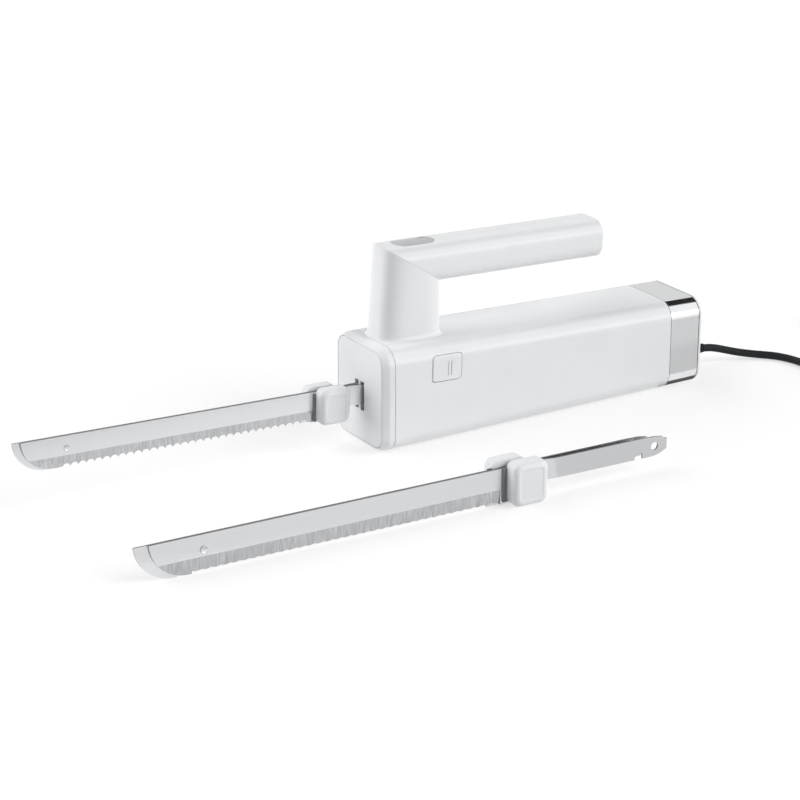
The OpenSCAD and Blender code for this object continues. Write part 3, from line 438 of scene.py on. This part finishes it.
class Nodes:
    """A material's nodes, with short calls for the few kinds used here."""

    def __init__(self, name):
        self.material = bpy.data.materials.new(name)
        self.material.use_nodes = True
        self.tree = self.material.node_tree
        self.shader = self.tree.nodes["Principled BSDF"]
        self.texture = self.tree.nodes.new("ShaderNodeTexCoord")

    def set(self, **values):
        for name, value in values.items():
            socket = name.replace("_", " ").title().replace("Ior", "IOR")
            self.shader.inputs[socket].default_value = value

    def link(self, output, node, socket):
        self.tree.links.new(output, node.inputs[socket])

    def noise(self, size, detail=3.0, stretch=(1, 1, 1)):
        """Noise whose grain is about size metres across, drawn out where stretch is small."""
        mapping = self.tree.nodes.new("ShaderNodeMapping")
        mapping.inputs["Scale"].default_value = stretch
        self.link(self.texture.outputs["Object"], mapping, "Vector")
        node = self.tree.nodes.new("ShaderNodeTexNoise")
        node.inputs["Scale"].default_value = 1 / size
        node.inputs["Detail"].default_value = detail
        self.link(mapping.outputs["Vector"], node, "Vector")
        return node.outputs["Fac"]

    def ramp(self, output, zero, one, low=0, high=1):
        """Low to high as the value goes from zero to one."""
        node = self.tree.nodes.new("ShaderNodeMapRange")
        for socket, value in (("From Min", zero), ("From Max", one),
                              ("To Min", low), ("To Max", high)):
            node.inputs[socket].default_value = value
        self.link(output, node, "Value")
        return node.outputs["Result"]

    def spread(self, output, low=0, high=1):
        """The middle range of a noise spread over low to high."""
        return self.ramp(output, 0.3, 0.7, low, high)

    def blend(self, output, first, second):
        """Between two outputs or colours."""
        node = self.tree.nodes.new("ShaderNodeMix")
        node.data_type = "RGBA"
        for value, socket in ((first, node.inputs["A"]), (second, node.inputs["B"])):
            if isinstance(value, tuple):
                socket.default_value = (*value, 1)
            else:
                self.tree.links.new(value, socket)
        self.link(output, node, "Factor")
        return node.outputs["Result"]

    def colour(self, output):
        self.link(output, self.shader, "Base Color")

    def roughness(self, output):
        self.link(output, self.shader, "Roughness")

    def bump(self, output, depth):
        """Bump of that depth in metres."""
        node = self.tree.nodes.new("ShaderNodeBump")
        node.inputs["Strength"].default_value = 1
        node.inputs["Distance"].default_value = depth
        self.link(output, node, "Height")
        self.link(node.outputs["Normal"], self.shader, "Normal")


def tone(colour, factor):
    return tuple(min(1.0, c * factor) for c in colour)


def moulded(name, colour, roughness, coat=0.0, grain=0.0009, depth=0.000006, vary=0.02):
    """Moulded plastic: a faint cloud in the colour, an uneven gloss and a fine skin."""
    n = Nodes(name)
    cloud = n.spread(n.noise(0.03))
    n.colour(n.blend(cloud, tone(colour, 1 - vary), tone(colour, 1 + vary / 2)))
    n.roughness(n.spread(n.noise(0.012), roughness * 0.92, roughness * 1.08))
    n.bump(n.noise(grain, 2), depth)
    n.set(coat_weight=coat, coat_roughness=0.08)
    return n.material


def brushed(name, colour, roughness, stretch=(0.03, 1, 1), grain=0.0004, depth=0.000004,
            vary=0.06):
    """Metal with fine lines from grinding or drawing, long where stretch is small."""
    n = Nodes(name)
    lines = n.noise(grain, 4, stretch)
    n.colour(n.blend(n.spread(lines), tone(colour, 1 - vary), tone(colour, 1 + vary / 2)))
    n.roughness(n.spread(lines, roughness * 0.8, roughness * 1.2))
    n.bump(lines, depth)
    n.set(metallic=1.0)
    return n.material


def ground_steel_painted_shade(name, colour, roughness):
    """Blade: flat faces with fine lines along them, a bevel with grinding lines across whose
    darker tone is painted shade where it faces down, and cut edges painted dark as painted shade."""
    n = Nodes(name)
    normal = n.tree.nodes.new("ShaderNodeSeparateXYZ")
    n.link(n.texture.outputs["Normal"], normal, "Vector")
    # Faces that point down, the bevel: painted shade darkens them, and grinding lines cross them
    bevel = n.ramp(normal.outputs["Z"], -0.04, -0.10)
    side = n.tree.nodes.new("ShaderNodeMath")
    side.operation = "ABSOLUTE"
    n.link(normal.outputs["Y"], side, 0)
    # Faces across the blade, its cut edges and spine, get a dark tone: painted shade on the
    # blade's thickness
    cut = n.ramp(side.outputs[0], 0.62, 0.5)
    along = n.noise(0.0004, 3, (0.02, 1, 1))
    across = n.noise(0.0011, 5, (1, 1, 0.02))
    patches = n.noise(0.028, 1, (1, 1, 0.02))
    flat = n.blend(n.spread(along), tone(colour, 0.975), tone(colour, 1.015))
    # The bevel's tones are darker than the flat's: painted shade, with the grinding lines and
    # patches in it
    fine = n.blend(n.spread(across), tone(colour, 0.62), tone(colour, 0.72))
    coarse = n.blend(n.spread(across), tone(colour, 0.52), tone(colour, 0.86))
    bevel_grind_and_shade = n.blend(n.spread(patches), fine, coarse)
    n.colour(n.blend(cut, n.blend(bevel, flat, bevel_grind_and_shade), tone(colour, 0.34)))
    n.roughness(n.spread(along, roughness * 0.9, roughness * 1.1))
    n.bump(n.blend(bevel, along, across), 0.000003)
    n.set(metallic=1.0)
    return n.material


def rubber(name, colour, roughness):
    """Cloudy dull rubber with a fine skin."""
    n = Nodes(name)
    n.colour(n.blend(n.spread(n.noise(0.004)), tone(colour, 0.8), tone(colour, 1.3)))
    n.roughness(n.spread(n.noise(0.002), roughness * 0.85, roughness * 1.1))
    n.bump(n.noise(0.0006, 2), 0.00001)
    n.set(specular_ior_level=0.2)
    return n.material


ALL_WAYS = (1, 1, 1)
# Maker, colour, roughness and what else differs from the maker's plain values
FINISHES = {
    "white_plastic": (moulded, (0.79, 0.80, 0.815), 0.2, dict(coat=0.4)),
    "panel_plastic": (moulded, (0.76, 0.775, 0.79), 0.3, dict(coat=0.2)),
    "guard_plastic": (moulded, (0.77, 0.79, 0.805), 0.32, dict(coat=0.2)),
    "silver_plastic": (moulded, (0.44, 0.445, 0.455), 0.35, dict(coat=0.3, grain=0.0003)),
    "chrome_trim": (brushed, (0.86, 0.87, 0.88), 0.13,
                    dict(stretch=(1, 0.02, 0.02), depth=0.000001, vary=0.02)),
    "blade_steel": (ground_steel_painted_shade, (0.74, 0.75, 0.765), 0.24, {}),
    "spring_steel": (brushed, (0.45, 0.45, 0.46), 0.3, {}),
    "plated_steel": (brushed, (0.55, 0.55, 0.53), 0.4, {}),
    "plated_brass": (brushed, (0.72, 0.71, 0.67), 0.2, dict(stretch=(1, 0.03, 1))),
    "bronze": (brushed, (0.5, 0.33, 0.17), 0.5,
               dict(stretch=ALL_WAYS, grain=0.0003, depth=0.00002, vary=0.15)),
    "acetal": (moulded, (0.78, 0.75, 0.67), 0.45, {}),
    "grey_plastic": (moulded, (0.20, 0.215, 0.225), 0.45, dict(depth=0.00001)),
    "black_plastic": (moulded, (0.025, 0.025, 0.028), 0.42, dict(depth=0.00001, vary=0.1)),
    "black_rubber": (rubber, (0.012, 0.014, 0.016), 0.5, {}),
    "ferrite": (brushed, (0.16, 0.15, 0.15), 0.6,
                dict(stretch=ALL_WAYS, depth=0.00002, vary=0.2)),
    "board": (moulded, (0.05, 0.2, 0.09), 0.35, dict(vary=0.15)),
}
MATERIALS = {name: make(name, colour, roughness, **options)
             for name, (make, colour, roughness, options) in FINISHES.items()}

for row in frame["record"]["subparts"]:
    node = frame["nodes"][row["node"]]
    slot = row["material_slot"]
    node.data.materials.clear()
    node.data.materials.append(MATERIALS[slot])
    node.data.shade_smooth()
    sharp = SHARP_BLADE if slot == "blade_steel" else SHARP_NODE
    node.data.set_sharp_from_angle(angle=math.radians(sharp))


# Lead, coil and plug

def coil_point(turn):
    """Point of the coil after that many turns: in on the table, up where it turns back, and
    out on the first layer."""
    r = COIL_INNER_R + COIL_PITCH * math.sqrt((turn - LAYER_TURNS) ** 2 + TURN_BLEND)
    a = math.pi + 2 * math.pi * turn
    climb = smooth_step(min(max((turn - LAYER_TURNS) * 2 + 0.5, 0), 1))
    return placed(COIL_X + r * math.cos(a), COIL_Y + r * math.sin(a), COIL_Z + COIL_PITCH * climb)


def lead_points():
    """The whole lead's line, and the place of the plug's neck."""
    start = [placed(x, 0, EXIT_Z)
             for x in (BODY_LEN - RELIEF_IN, BODY_LEN, BODY_LEN + RELIEF_LEN / 2)]
    loops = [coil_point(i / RING_STEPS) for i in range(int(2 * LAYER_TURNS * RING_STEPS) + 1)]
    end = loops[-1]
    tail = []
    for i in range(1, TAIL_STEPS + 1):
        t = i / TAIL_STEPS
        rise = (PLUG_Z - end.z) * smooth_step(t)
        tail.append(Vector((end.x, end.y + TAIL_LEN * t, end.z + rise)))
    plug = tail[-1] + Vector((0, CORD_D, 0))
    route = start + [placed(*p) for p in LEAD_ROUTE]
    return route + loops + tail + [plug, plug + Vector((0, PLUG_NECK / 2, 0))], plug


def tube(name, points, diameter):
    """One open curve of that diameter through points in millimetres."""
    curve = bpy.data.curves.new(name, "CURVE")
    curve.dimensions = "3D"
    # The points' own radius gives the real one
    curve.bevel_depth = 1.0
    curve.bevel_resolution = 5
    curve.use_fill_caps = True
    spline = curve.splines.new("NURBS")
    spline.points.add(len(points) - 1)
    for point, place in zip(spline.points, points):
        point.co = (*(place * MM), 1)
        point.radius = diameter / 2 * MM
    spline.order_u = 4
    spline.use_endpoint_u = True
    spline.resolution_u = 4
    piece = bpy.data.objects.new(name, curve)
    bpy.context.scene.collection.objects.link(piece)
    return piece


def ribbed(start, end, r0, r1, ribs, depth):
    """Profile of a taper with round grooves between its ribs."""
    out = []
    last = ribs * RIB_STEPS
    for i in range(last + 1):
        t = i / last
        wave = max(0.0, math.cos(2 * math.pi * i / RIB_STEPS)) ** 0.5
        groove = depth * wave if 0 < i < last else 0
        out.append((start + (end - start) * t, r0 + (r1 - r0) * t - groove))
    return out


line, plug_at = lead_points()
lead = tube("lead", line, CORD_D)
finish_piece(lead, "black_rubber", "cord_lead", "cord_coil")

relief = lathe("relief", RELIEF_ROOT + ribbed(*RELIEF_RIBS) + RELIEF_TIP,
               placed(BODY_LEN, 0, EXIT_Z), (1, 0, 0))
finish_piece(relief, "black_rubber", "strain_relief")

neck = lathe("plug_neck", NECK_ROOT + ribbed(*NECK_RIBS) + NECK_TIP, plug_at, (0, 1, 0))
add_piece(neck, "black_rubber")

plug_rings = []
for along, wide, tall in PLUG_STATIONS:
    outline = superellipse(PLUG_W / 2 * wide, PLUG_TALL / 2 * tall, PLUG_POWER, PLUG_SIDES)
    plug_rings.append([plug_at + Vector((a, PLUG_NECK + along, b)) for a, b in outline])
plug = loft("plug", plug_rings, sharp_angle=SHARP_ROUND)
finish_piece(plug, "black_rubber", "plug_body")


# Body ends

def body_ring(x, inset):
    """Outline of the body at x, drawn in by inset."""
    half = BODY_W / 2 - inset
    top = FRONT_H - x * math.tan(TILT) - inset
    return [placed(x, y, z)
            for y, z in rounded_rect(-half, half, inset, top, EDGE_R - inset, EDGE_STEPS)]


cap_rings = [body_ring(CAP_LEN, PANEL_RIM), body_ring(RIM_SETBACK, PANEL_RIM)]
cap_rings += [body_ring(x, inset) for x, inset in FRONT_PROFILE]
cap_rings += [body_ring(CAP_LEN - CAP_CHAMFER, 0), body_ring(CAP_LEN, CAP_INSET)]
finish_piece(loft("cap_front", cap_rings, cyclic=True), "white_plastic", "front_cap")

panel_inset = PANEL_RIM + SEAM
panel_rings = [body_ring(PANEL_T, panel_inset)]
panel_rings += [body_ring(x, panel_inset + inset) for x, inset in PANEL_EDGE]
panel = loft("panel_front", panel_rings)
for turn in (-1, 1):
    low_y, high_y = sorted((turn * SLOT_Y, turn * (SLOT_Y + SLOT_W)))
    slot_ends = [(low_y, SLOT_LOW), (high_y, SLOT_LOW),
                 (high_y, SLOT_LOW + SLOT_H), (low_y, SLOT_LOW + SLOT_H)]
    cut_away(panel, loft("slot", [[tipped(u, y, h) for y, h in slot_ends]
                                  for u in (-2 * PANEL_T, 3 * PANEL_T)]))
finish_piece(panel, "panel_plastic", "front_plate")

band_rings = [body_ring(BAND_X, CHROME_T)]
band_rings += [body_ring(BAND_X + x, inset) for x, inset in BAND_EDGE]
band_rings += [body_ring(REAR_X - x, inset) for x, inset in BAND_EDGE[::-1]]
band_rings += [body_ring(REAR_X, CHROME_T)]
finish_piece(loft("band", band_rings, cyclic=True), "chrome_trim", "chrome_band")

# Black rings at the band's ends paint the shade of the seams between chrome and white plastic
for name, x in (("seam_shade_front", BAND_X), ("seam_shade_rear", REAR_X)):
    x0, x1 = x - LINE_W / 2, x + LINE_W / 2
    seam_rings = [body_ring(x0, CHROME_T), body_ring(x0, LINE_INSET),
                  body_ring(x1, LINE_INSET), body_ring(x1, CHROME_T)]
    finish_piece(loft(name, seam_rings, cyclic=True), "black_plastic")

end_rings = [body_ring(REAR_X + SEAM + x, inset) for x, inset in REAR_EDGE]
end_rings += [body_ring(BODY_LEN - x, inset) for x, inset in rounding(REAR_ROUND, REAR_STEPS)]
finish_piece(loft("cap_rear", end_rings), "white_plastic", "end_cap")


# Handle

def handle_lines(inset):
    """Each line of the handle, as its point of the foot, its point of the mitre and its offset
    in the bar's section."""
    half, tall = BAR_WIDE_HALF - inset, BAR_TALL_HALF - inset
    foot = superellipse(POST_LEN / 2 - inset, half, HANDLE_POWER, HANDLE_SIDES)
    x0, x1 = MITRE_X
    slope = math.atan2(2 * BAR_TALL_HALF, x1 - x0)
    reach = math.hypot(x1 - x0, 2 * BAR_TALL_HALF) / 2 * (1 - inset / BAR_TALL_HALF)
    mitre = superellipse(reach, half, HANDLE_POWER, HANDLE_SIDES)
    bar = superellipse(tall, half, HANDLE_POWER, HANDLE_SIDES)
    lines = []
    for (fx, fy), (mx, my), (bx, by) in zip(foot, mitre, bar):
        lines.append(((POST_FRONT + POST_LEN / 2 + fx, fy),
                      ((x0 + x1) / 2 + mx * math.cos(slope), my, BAR_H - mx * math.sin(slope)),
                      (by, -bx)))
    return lines


def foot_ring(lines, flare, h):
    """Section of the post at h, drawn out by flare."""
    centre = POST_FRONT + POST_LEN / 2
    along, across = 1 + flare / (POST_LEN / 2), 1 + flare / BAR_WIDE_HALF
    return [Vector((centre + (fx - centre) * along, fy * across, h)) for (fx, fy), _, _ in lines]


def mitre_ring(lines, foot_h, offset, drawn):
    """Ring beside the mitre, towards the foot where offset is over nought, and drawn in."""
    middle = Vector((sum(MITRE_X) / 2, 0, BAR_H))
    ring = []
    for (fx, fy), mitre, (by, bz) in lines:
        point = Vector(mitre)
        aim = Vector((fx, fy, foot_h)) if offset > 0 else Vector((BAR_END, by, BAR_H + bz))
        ring.append(point + (aim - point).normalized() * abs(offset)
                    + (middle - point).normalized() * drawn)
    return ring


def handle_rings(lines, inset, foot_h):
    """Rings from the post's foot over the mitre to the bar's round end."""
    if inset:
        rings = [foot_ring(lines, 0, foot_h), mitre_ring(lines, foot_h, 0, 0)]
    else:
        # Outside, the foot has a soft flare and the mitre a fine crease
        rings = []
        for i in range(FLARE_STEPS + 1):
            t = i / FLARE_STEPS
            flare = FOOT_FLARE * (1 - math.sqrt(1 - (1 - t) ** 2))
            rings.append(foot_ring(lines, flare, foot_h + FLARE_H * t))
        for offset, drawn in ((MITRE_ROUND, 0), (CREASE_W, 0), (CREASE_W / 2, CREASE_DEPTH),
                              (-CREASE_W / 2, CREASE_DEPTH), (-CREASE_W, 0), (-MITRE_ROUND, 0)):
            rings.append(mitre_ring(lines, foot_h, offset, drawn))
    half, tall = BAR_WIDE_HALF - inset, BAR_TALL_HALF - inset
    for setback, drawn in rounding(HANDLE_ROUND, HANDLE_STEPS):
        wide, high = (half - drawn) / half, (tall - drawn) / tall
        rings.append([Vector((BAR_END - inset - setback, by * wide, BAR_H + bz * high))
                      for _, _, (by, bz) in lines])
    return rings


def handle_solid(name, inset, foot_h):
    """The handle as one closed form, drawn in by inset on all sides but its foot."""
    rings = handle_rings(handle_lines(inset), inset, foot_h)
    return loft(name, [[tipped(*p) for p in ring] for ring in rings])


def prism(name, outline, h0, h1):
    """Upright prism in the tipped frame."""
    return loft(name, [[tipped(u, y, h) for u, y in outline] for h in (h0, h1)])


def button_opening():
    """Solid that cuts the power button's opening into the top of the bar."""
    half, nose = BUTTON_HALF + BUTTON_PLAY, BUTTON_NOSE + BUTTON_PLAY
    centre = BUTTON_X + BUTTON_LEN - BUTTON_HALF
    reach = math.asin(half / nose)
    rear, front = [], []
    for i in range(BUTTON_STEPS + 1):
        a = math.radians(-90 + 180 * i / BUTTON_STEPS)
        rear.append((centre + half * math.cos(a), half * math.sin(a)))
        a = math.pi - reach + 2 * reach * i / BUTTON_STEPS
        front.append((BUTTON_X + BUTTON_NOSE + nose * math.cos(a), nose * math.sin(a)))
    return prism("opening", rear + front, BAR_H, 2 * BAR_H)


def other_half(side):
    """Everything past the seam along the middle, seen from that side."""
    y0, y1 = (-SEAM / 2, 2 * BODY_W) if side == "left" else (-2 * BODY_W, SEAM / 2)
    outline = [(-BODY_LEN, y0), (2 * BODY_LEN, y0), (2 * BODY_LEN, y1), (-BODY_LEN, y1)]
    return prism("other_half", outline, 0, 3 * FRONT_H)


for side in ("left", "right"):
    grip = handle_solid(f"grip_{side}", 0, TOP_H)
    cut_away(grip, handle_solid("core", WALL, TOP_H - WALL), button_opening(), other_half(side))
    finish_piece(grip, "white_plastic", f"handle_{side}")


# Side button: its face follows the body's long rounding at the top

def body_half(h):
    """Half width of the body at that height in the tipped frame."""
    drop = TOP_H - h
    if drop >= EDGE_R:
        return BODY_W / 2
    return BODY_W / 2 - EDGE_R + math.sqrt(EDGE_R ** 2 - (EDGE_R - drop) ** 2)


def button_ring(share, setback=0, depth=None):
    """Outline of the side button at a share of its size, on its face or at a plain depth."""
    half_w, half_h = RELEASE_W / 2, RELEASE_TALL / 2
    outline = rounded_rect(-half_w, half_w, -half_h, half_h, RELEASE_CORNER, CORNER_STEPS)
    points = []
    for a, b in outline:
        h = RELEASE_H + b * share
        y = body_half(h) + RELEASE_PROUD - setback if depth is None else depth
        points.append(tipped(RELEASE_X + a * share, -y, h))
    return points


def stem_ring(depth):
    """Round ring of the stem, with as many points as the button's outline."""
    count = 4 * (CORNER_STEPS + 1)
    ring = []
    for i in range(count):
        a = 2 * math.pi * (i + 0.5) / count + STEM_TURN
        ring.append(tipped(RELEASE_X + STEM_R * math.cos(a), -depth,
                           RELEASE_H + STEM_R * math.sin(a)))
    return ring


arm_y = STEM_END + SLIDE_W
flange_y = BODY_W / 2 - WALL - RELEASE_PLAY
face_y = BODY_W / 2 + RELEASE_PROUD
key_rings = [stem_ring(arm_y), stem_ring(flange_y - FLANGE_T),
             button_ring(1, depth=flange_y - FLANGE_T), button_ring(1, depth=flange_y)]
key_rings += [button_ring(1 - inset / (RELEASE_TALL / 2), setback)
              for setback, inset in rounding(RELEASE_ROUND, ROUND_STEPS)]
key_rings += [button_ring(share) for share in FACE_SHARES]
key = loft("release_key_face", key_rings, sharp_angle=SHARP_ROUND)
for u, wide, deep in GROOVES:
    groove = rounded_rect(u - wide / 2, u + wide / 2, RELEASE_H - GROOVE_DOWN,
                          RELEASE_H + GROOVE_UP, wide / 2 - SKIN, GROOVE_STEPS)
    cut_away(key, loft("groove", [[tipped(a, y, b) for a, b in groove]
                                  for y in (-face_y - OVERRUN, -face_y + deep)]))
finish_piece(key, "white_plastic", "release_button", body="release_key")

finger_top = FINGER_LOW + FINGER_T
stem_low, stem_high = RELEASE_H - STEM_R, RELEASE_H + STEM_R
finger_side = [(-SLIDE_W, FINGER_LOW), (arm_y, FINGER_LOW), (arm_y, finger_top),
               (STEM_END + FINGER_T, finger_top), (STEM_END + FINGER_T, stem_low),
               (arm_y + FINGER_T, stem_low), (arm_y + FINGER_T, stem_high),
               (STEM_END, stem_high), (STEM_END, finger_top), (-SLIDE_W, finger_top)]
finger = loft("release_finger", [[tipped(u, -y, h) for y, h in finger_side]
                                 for u in (FINGER_X - FINGER_W / 2, FINGER_X + FINGER_W / 2)])
arm_outline = rounded_rect(RELEASE_X, FINGER_X, stem_low, stem_high, ARM_CORNER, GROOVE_STEPS)
arm = loft("release_arm", [[tipped(a, -y, b) for a, b in arm_outline]
                           for y in (arm_y, arm_y + FINGER_T)])
for piece in (finger, arm):
    add_piece(piece, "white_plastic", "release_key")


# Rivets: dished heads in the place of the plain ones

for name, carrier in (("blade_rivet", "left_blade"), ("spare_rivet", "spare_left")):
    node = frame["nodes"][name]
    corners = [node.matrix_world @ Vector(c) / MM for c in node.bound_box]
    low, high = (Vector(pick(c[i] for c in corners) for i in range(3)) for pick in (min, max))
    reach, plain_r = (high.y - low.y) / 2, (high.z - low.z) / 2
    head = [HEAD_MIDDLE] + [(rise, plain_r * HEAD_SHARE * share) for rise, share in HEAD_PROFILE]
    head.append((HEAD_PROFILE[-1][0], plain_r * SHANK_SHARE))
    profile = [(-reach - rise, r) for rise, r in head]
    profile += [(reach + rise, r) for rise, r in head[::-1]]
    rivet = lathe(f"{name}_heads", profile, (low + high) / 2, (0, 1, 0), sharp_angle=SHARP_ROUND)
    finish_piece(rivet, "blade_steel", name, body=carrier)


# Guards: soft blocks with a shallow panel outside, and ahead of each a dark grey lip that is
# painted shade of the recess before the guard

def guard_pieces(name, body, place, length, lip, low, height, width):
    high = low + height

    def ring(inset, y, corner):
        outline = rounded_rect(inset - length + lip, -inset, low + inset, high - inset, corner,
                               CORNER_STEPS)
        return [place(a, y, b) for a, b in outline]

    rings = [ring(GUARD_EDGE, GUARD_INNER, GUARD_CORNER),
             ring(0, GUARD_INNER + GUARD_EDGE, GUARD_CORNER)]
    for setback, inset in rounding(GUARD_ROUND, GUARD_STEPS):
        if inset <= GUARD_ROUND * ROUND_SHARE:
            rings.append(ring(inset, width - setback, GUARD_CORNER - inset * CORNER_SHARE))
    rings += [ring(GUARD_ROUND + inset, width - deep, corner)
              for inset, deep, corner in GUARD_FLAT]
    block = loft(f"{name}_block", rings, sharp_angle=SHARP_GUARD)
    finish_piece(block, "guard_plastic", name, body=body)

    # The lip's dark grey paints the shade in the recess between blade and guard
    shade_lip_rings = []
    for inset, y in LIP_PROFILE:
        outline = rounded_rect(inset - length, lip - length + LIP_OVERLAP, low + LIP_FOOT + inset,
                               high - LIP_STEP - inset, LIP_CORNER, LIP_STEPS)
        shade_lip_rings.append([place(a, GUARD_INNER + y, b) for a, b in outline])
    add_piece(loft(f"{name}_lip", shade_lip_rings), "grey_plastic", body)


for side in ("left", "right"):
    guard_pieces(f"guard_{side}", f"{side}_blade", fitted(side), *FITTED_GUARD)
    guard_pieces(f"spare_guard_{side}", f"spare_{side}", spare(side), *SPARE_GUARD)


# Camera

camera_data = bpy.data.cameras.new("camera")
camera_data.lens = LENS
camera_data.sensor_width = SENSOR
camera_data.clip_end = CLIP_END
camera = bpy.data.objects.new("camera", camera_data)
camera.location = CAMERA_AT
camera.rotation_euler = [math.radians(a) for a in CAMERA_TURN]
bpy.context.scene.collection.objects.link(camera)
bpy.context.scene.camera = camera


# World and lamps: the world is plain white to the camera, to gloss and through glass, and a dim
# fill elsewhere

world = bpy.data.worlds.new("studio")
world.use_nodes = True
bpy.context.scene.world = world
tree = world.node_tree
sky = tree.nodes["Background"]
sky.inputs["Color"].default_value = (WORLD_LEVEL, WORLD_LEVEL, WORLD_LEVEL * WORLD_BLUE, 1)
white = tree.nodes.new("ShaderNodeBackground")
white.inputs["Color"].default_value = (1, 1, 1, 1)
path = tree.nodes.new("ShaderNodeLightPath")
any_ray = path.outputs["Is Camera Ray"]
for ray in ("Is Glossy Ray", "Is Transmission Ray"):
    either = tree.nodes.new("ShaderNodeMath")
    either.operation = "MAXIMUM"
    tree.links.new(any_ray, either.inputs[0])
    tree.links.new(path.outputs[ray], either.inputs[1])
    any_ray = either.outputs[0]
mix = tree.nodes.new("ShaderNodeMixShader")
tree.links.new(any_ray, mix.inputs["Fac"])
tree.links.new(sky.outputs[0], mix.inputs[1])
tree.links.new(white.outputs[0], mix.inputs[2])
tree.links.new(mix.outputs[0], tree.nodes["World Output"].inputs["Surface"])

for name, (azimuth, elevation, width, level) in LAMPS.items():
    data = bpy.data.lights.new(name, "SUN")
    data.energy = math.pi * level
    data.angle = math.radians(width)
    lamp = bpy.data.objects.new(name, data)
    a, e = math.radians(azimuth), math.radians(elevation)
    aim = Vector((-math.cos(a) * math.cos(e), -math.sin(a) * math.cos(e), -math.sin(e)))
    lamp.rotation_euler = aim.to_track_quat("-Z", "Y").to_euler()
    lamp.location = -aim
    lamp.visible_glossy = False
    bpy.context.scene.collection.objects.link(lamp)


# Stage: a floor, and cards that only polished surfaces show

def flat_quad(name, corners):
    """Stage piece of one face, with its corners in metres."""
    mesh = bpy.data.meshes.new(name)
    mesh.from_pydata(corners, [], [(0, 1, 2, 3)])
    quad = bpy.data.objects.new(name, mesh)
    bpy.context.scene.collection.objects.link(quad)
    quad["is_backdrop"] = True
    return quad


def level_corners(x0, x1, y0, y1, z):
    return [(x0, y0, z), (x1, y0, z), (x1, y1, z), (x0, y1, z)]


def upright_corners(first, second, z0, z1):
    return [(*first, z0), (*second, z0), (*second, z1), (*first, z1)]


def mirrored_card(name, corners, level):
    """Plain glowing card that neither lights nor shades anything."""
    card = flat_quad(name, corners)
    material = bpy.data.materials.new(name)
    material.use_nodes = True
    shader = material.node_tree.nodes["Principled BSDF"]
    shader.inputs["Base Color"].default_value = (0, 0, 0, 1)
    shader.inputs["Specular IOR Level"].default_value = 0
    shader.inputs["Emission Color"].default_value = (level, level, level, 1)
    shader.inputs["Emission Strength"].default_value = 1.0
    card.data.materials.append(material)
    for ray in ("camera", "diffuse", "transmission", "volume_scatter", "shadow"):
        setattr(card, f"visible_{ray}", False)


for name, corners, level in (
        ("card_over", level_corners(0.2, 1.3, -0.25, 0.66, 1), 0.02),
        ("card_side", upright_corners((0.4, -2.2), (2.0, -1.2), 0.05, 0.75), 2.2),
        # Grey and dark cards on the floor by the body, seen only in gloss: painted shade of the
        # floor and painted contact shadow under the body's edge, in the chrome's reflections
        ("card_far_floor_shade", level_corners(0.09, 0.30, -0.17, -0.09, CARD_Z), 0.70),
        ("card_floor_shade", level_corners(0.09, 0.30, -0.09, -0.045, CARD_Z), 0.62),
        ("card_shadow_under", level_corners(0.09, 0.16, -0.027, -0.012, CARD_Z), 0.1),
        # Grey floor patches seen only in gloss: a painted reflection of darker floor in the spare
        # pair's blades and tangs
        ("card_spare_blades_reflection", level_corners(-0.32, -0.052, -0.21, -0.137, CARD_Z), 0.88),
        ("card_spare_tangs_reflection", level_corners(-0.052, 0.12, -0.21, -0.141, CARD_Z), 0.72),
        ("card_behind", upright_corners((0.0, 2.6), (3.4, 1.6), -0.2, 2.2), 0.76)):
    mirrored_card(name, corners, level)

floor = flat_quad("floor", level_corners(-FLOOR_HALF, FLOOR_HALF, -FLOOR_HALF, FLOOR_HALF, 0))
floor.location.z = FLOOR_Z
n = Nodes("floor")
n.colour(n.blend(n.noise(FLOOR_CLOUD), *((value,) * 3 for value in FLOOR_TONES)))
n.set(roughness=0.9, specular_ior_level=0, emission_color=(1, 1, 1, 1))
ray_path = n.tree.nodes.new("ShaderNodeLightPath")
glow = n.ramp(ray_path.outputs["Is Diffuse Ray"], 0, 1, FLOOR_GLOW, FLOOR_BOUNCE)
n.link(glow, n.shader, "Emission Strength")
floor.data.materials.append(n.material)

bpy.context.scene.view_settings.view_transform = "Standard"

low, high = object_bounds()
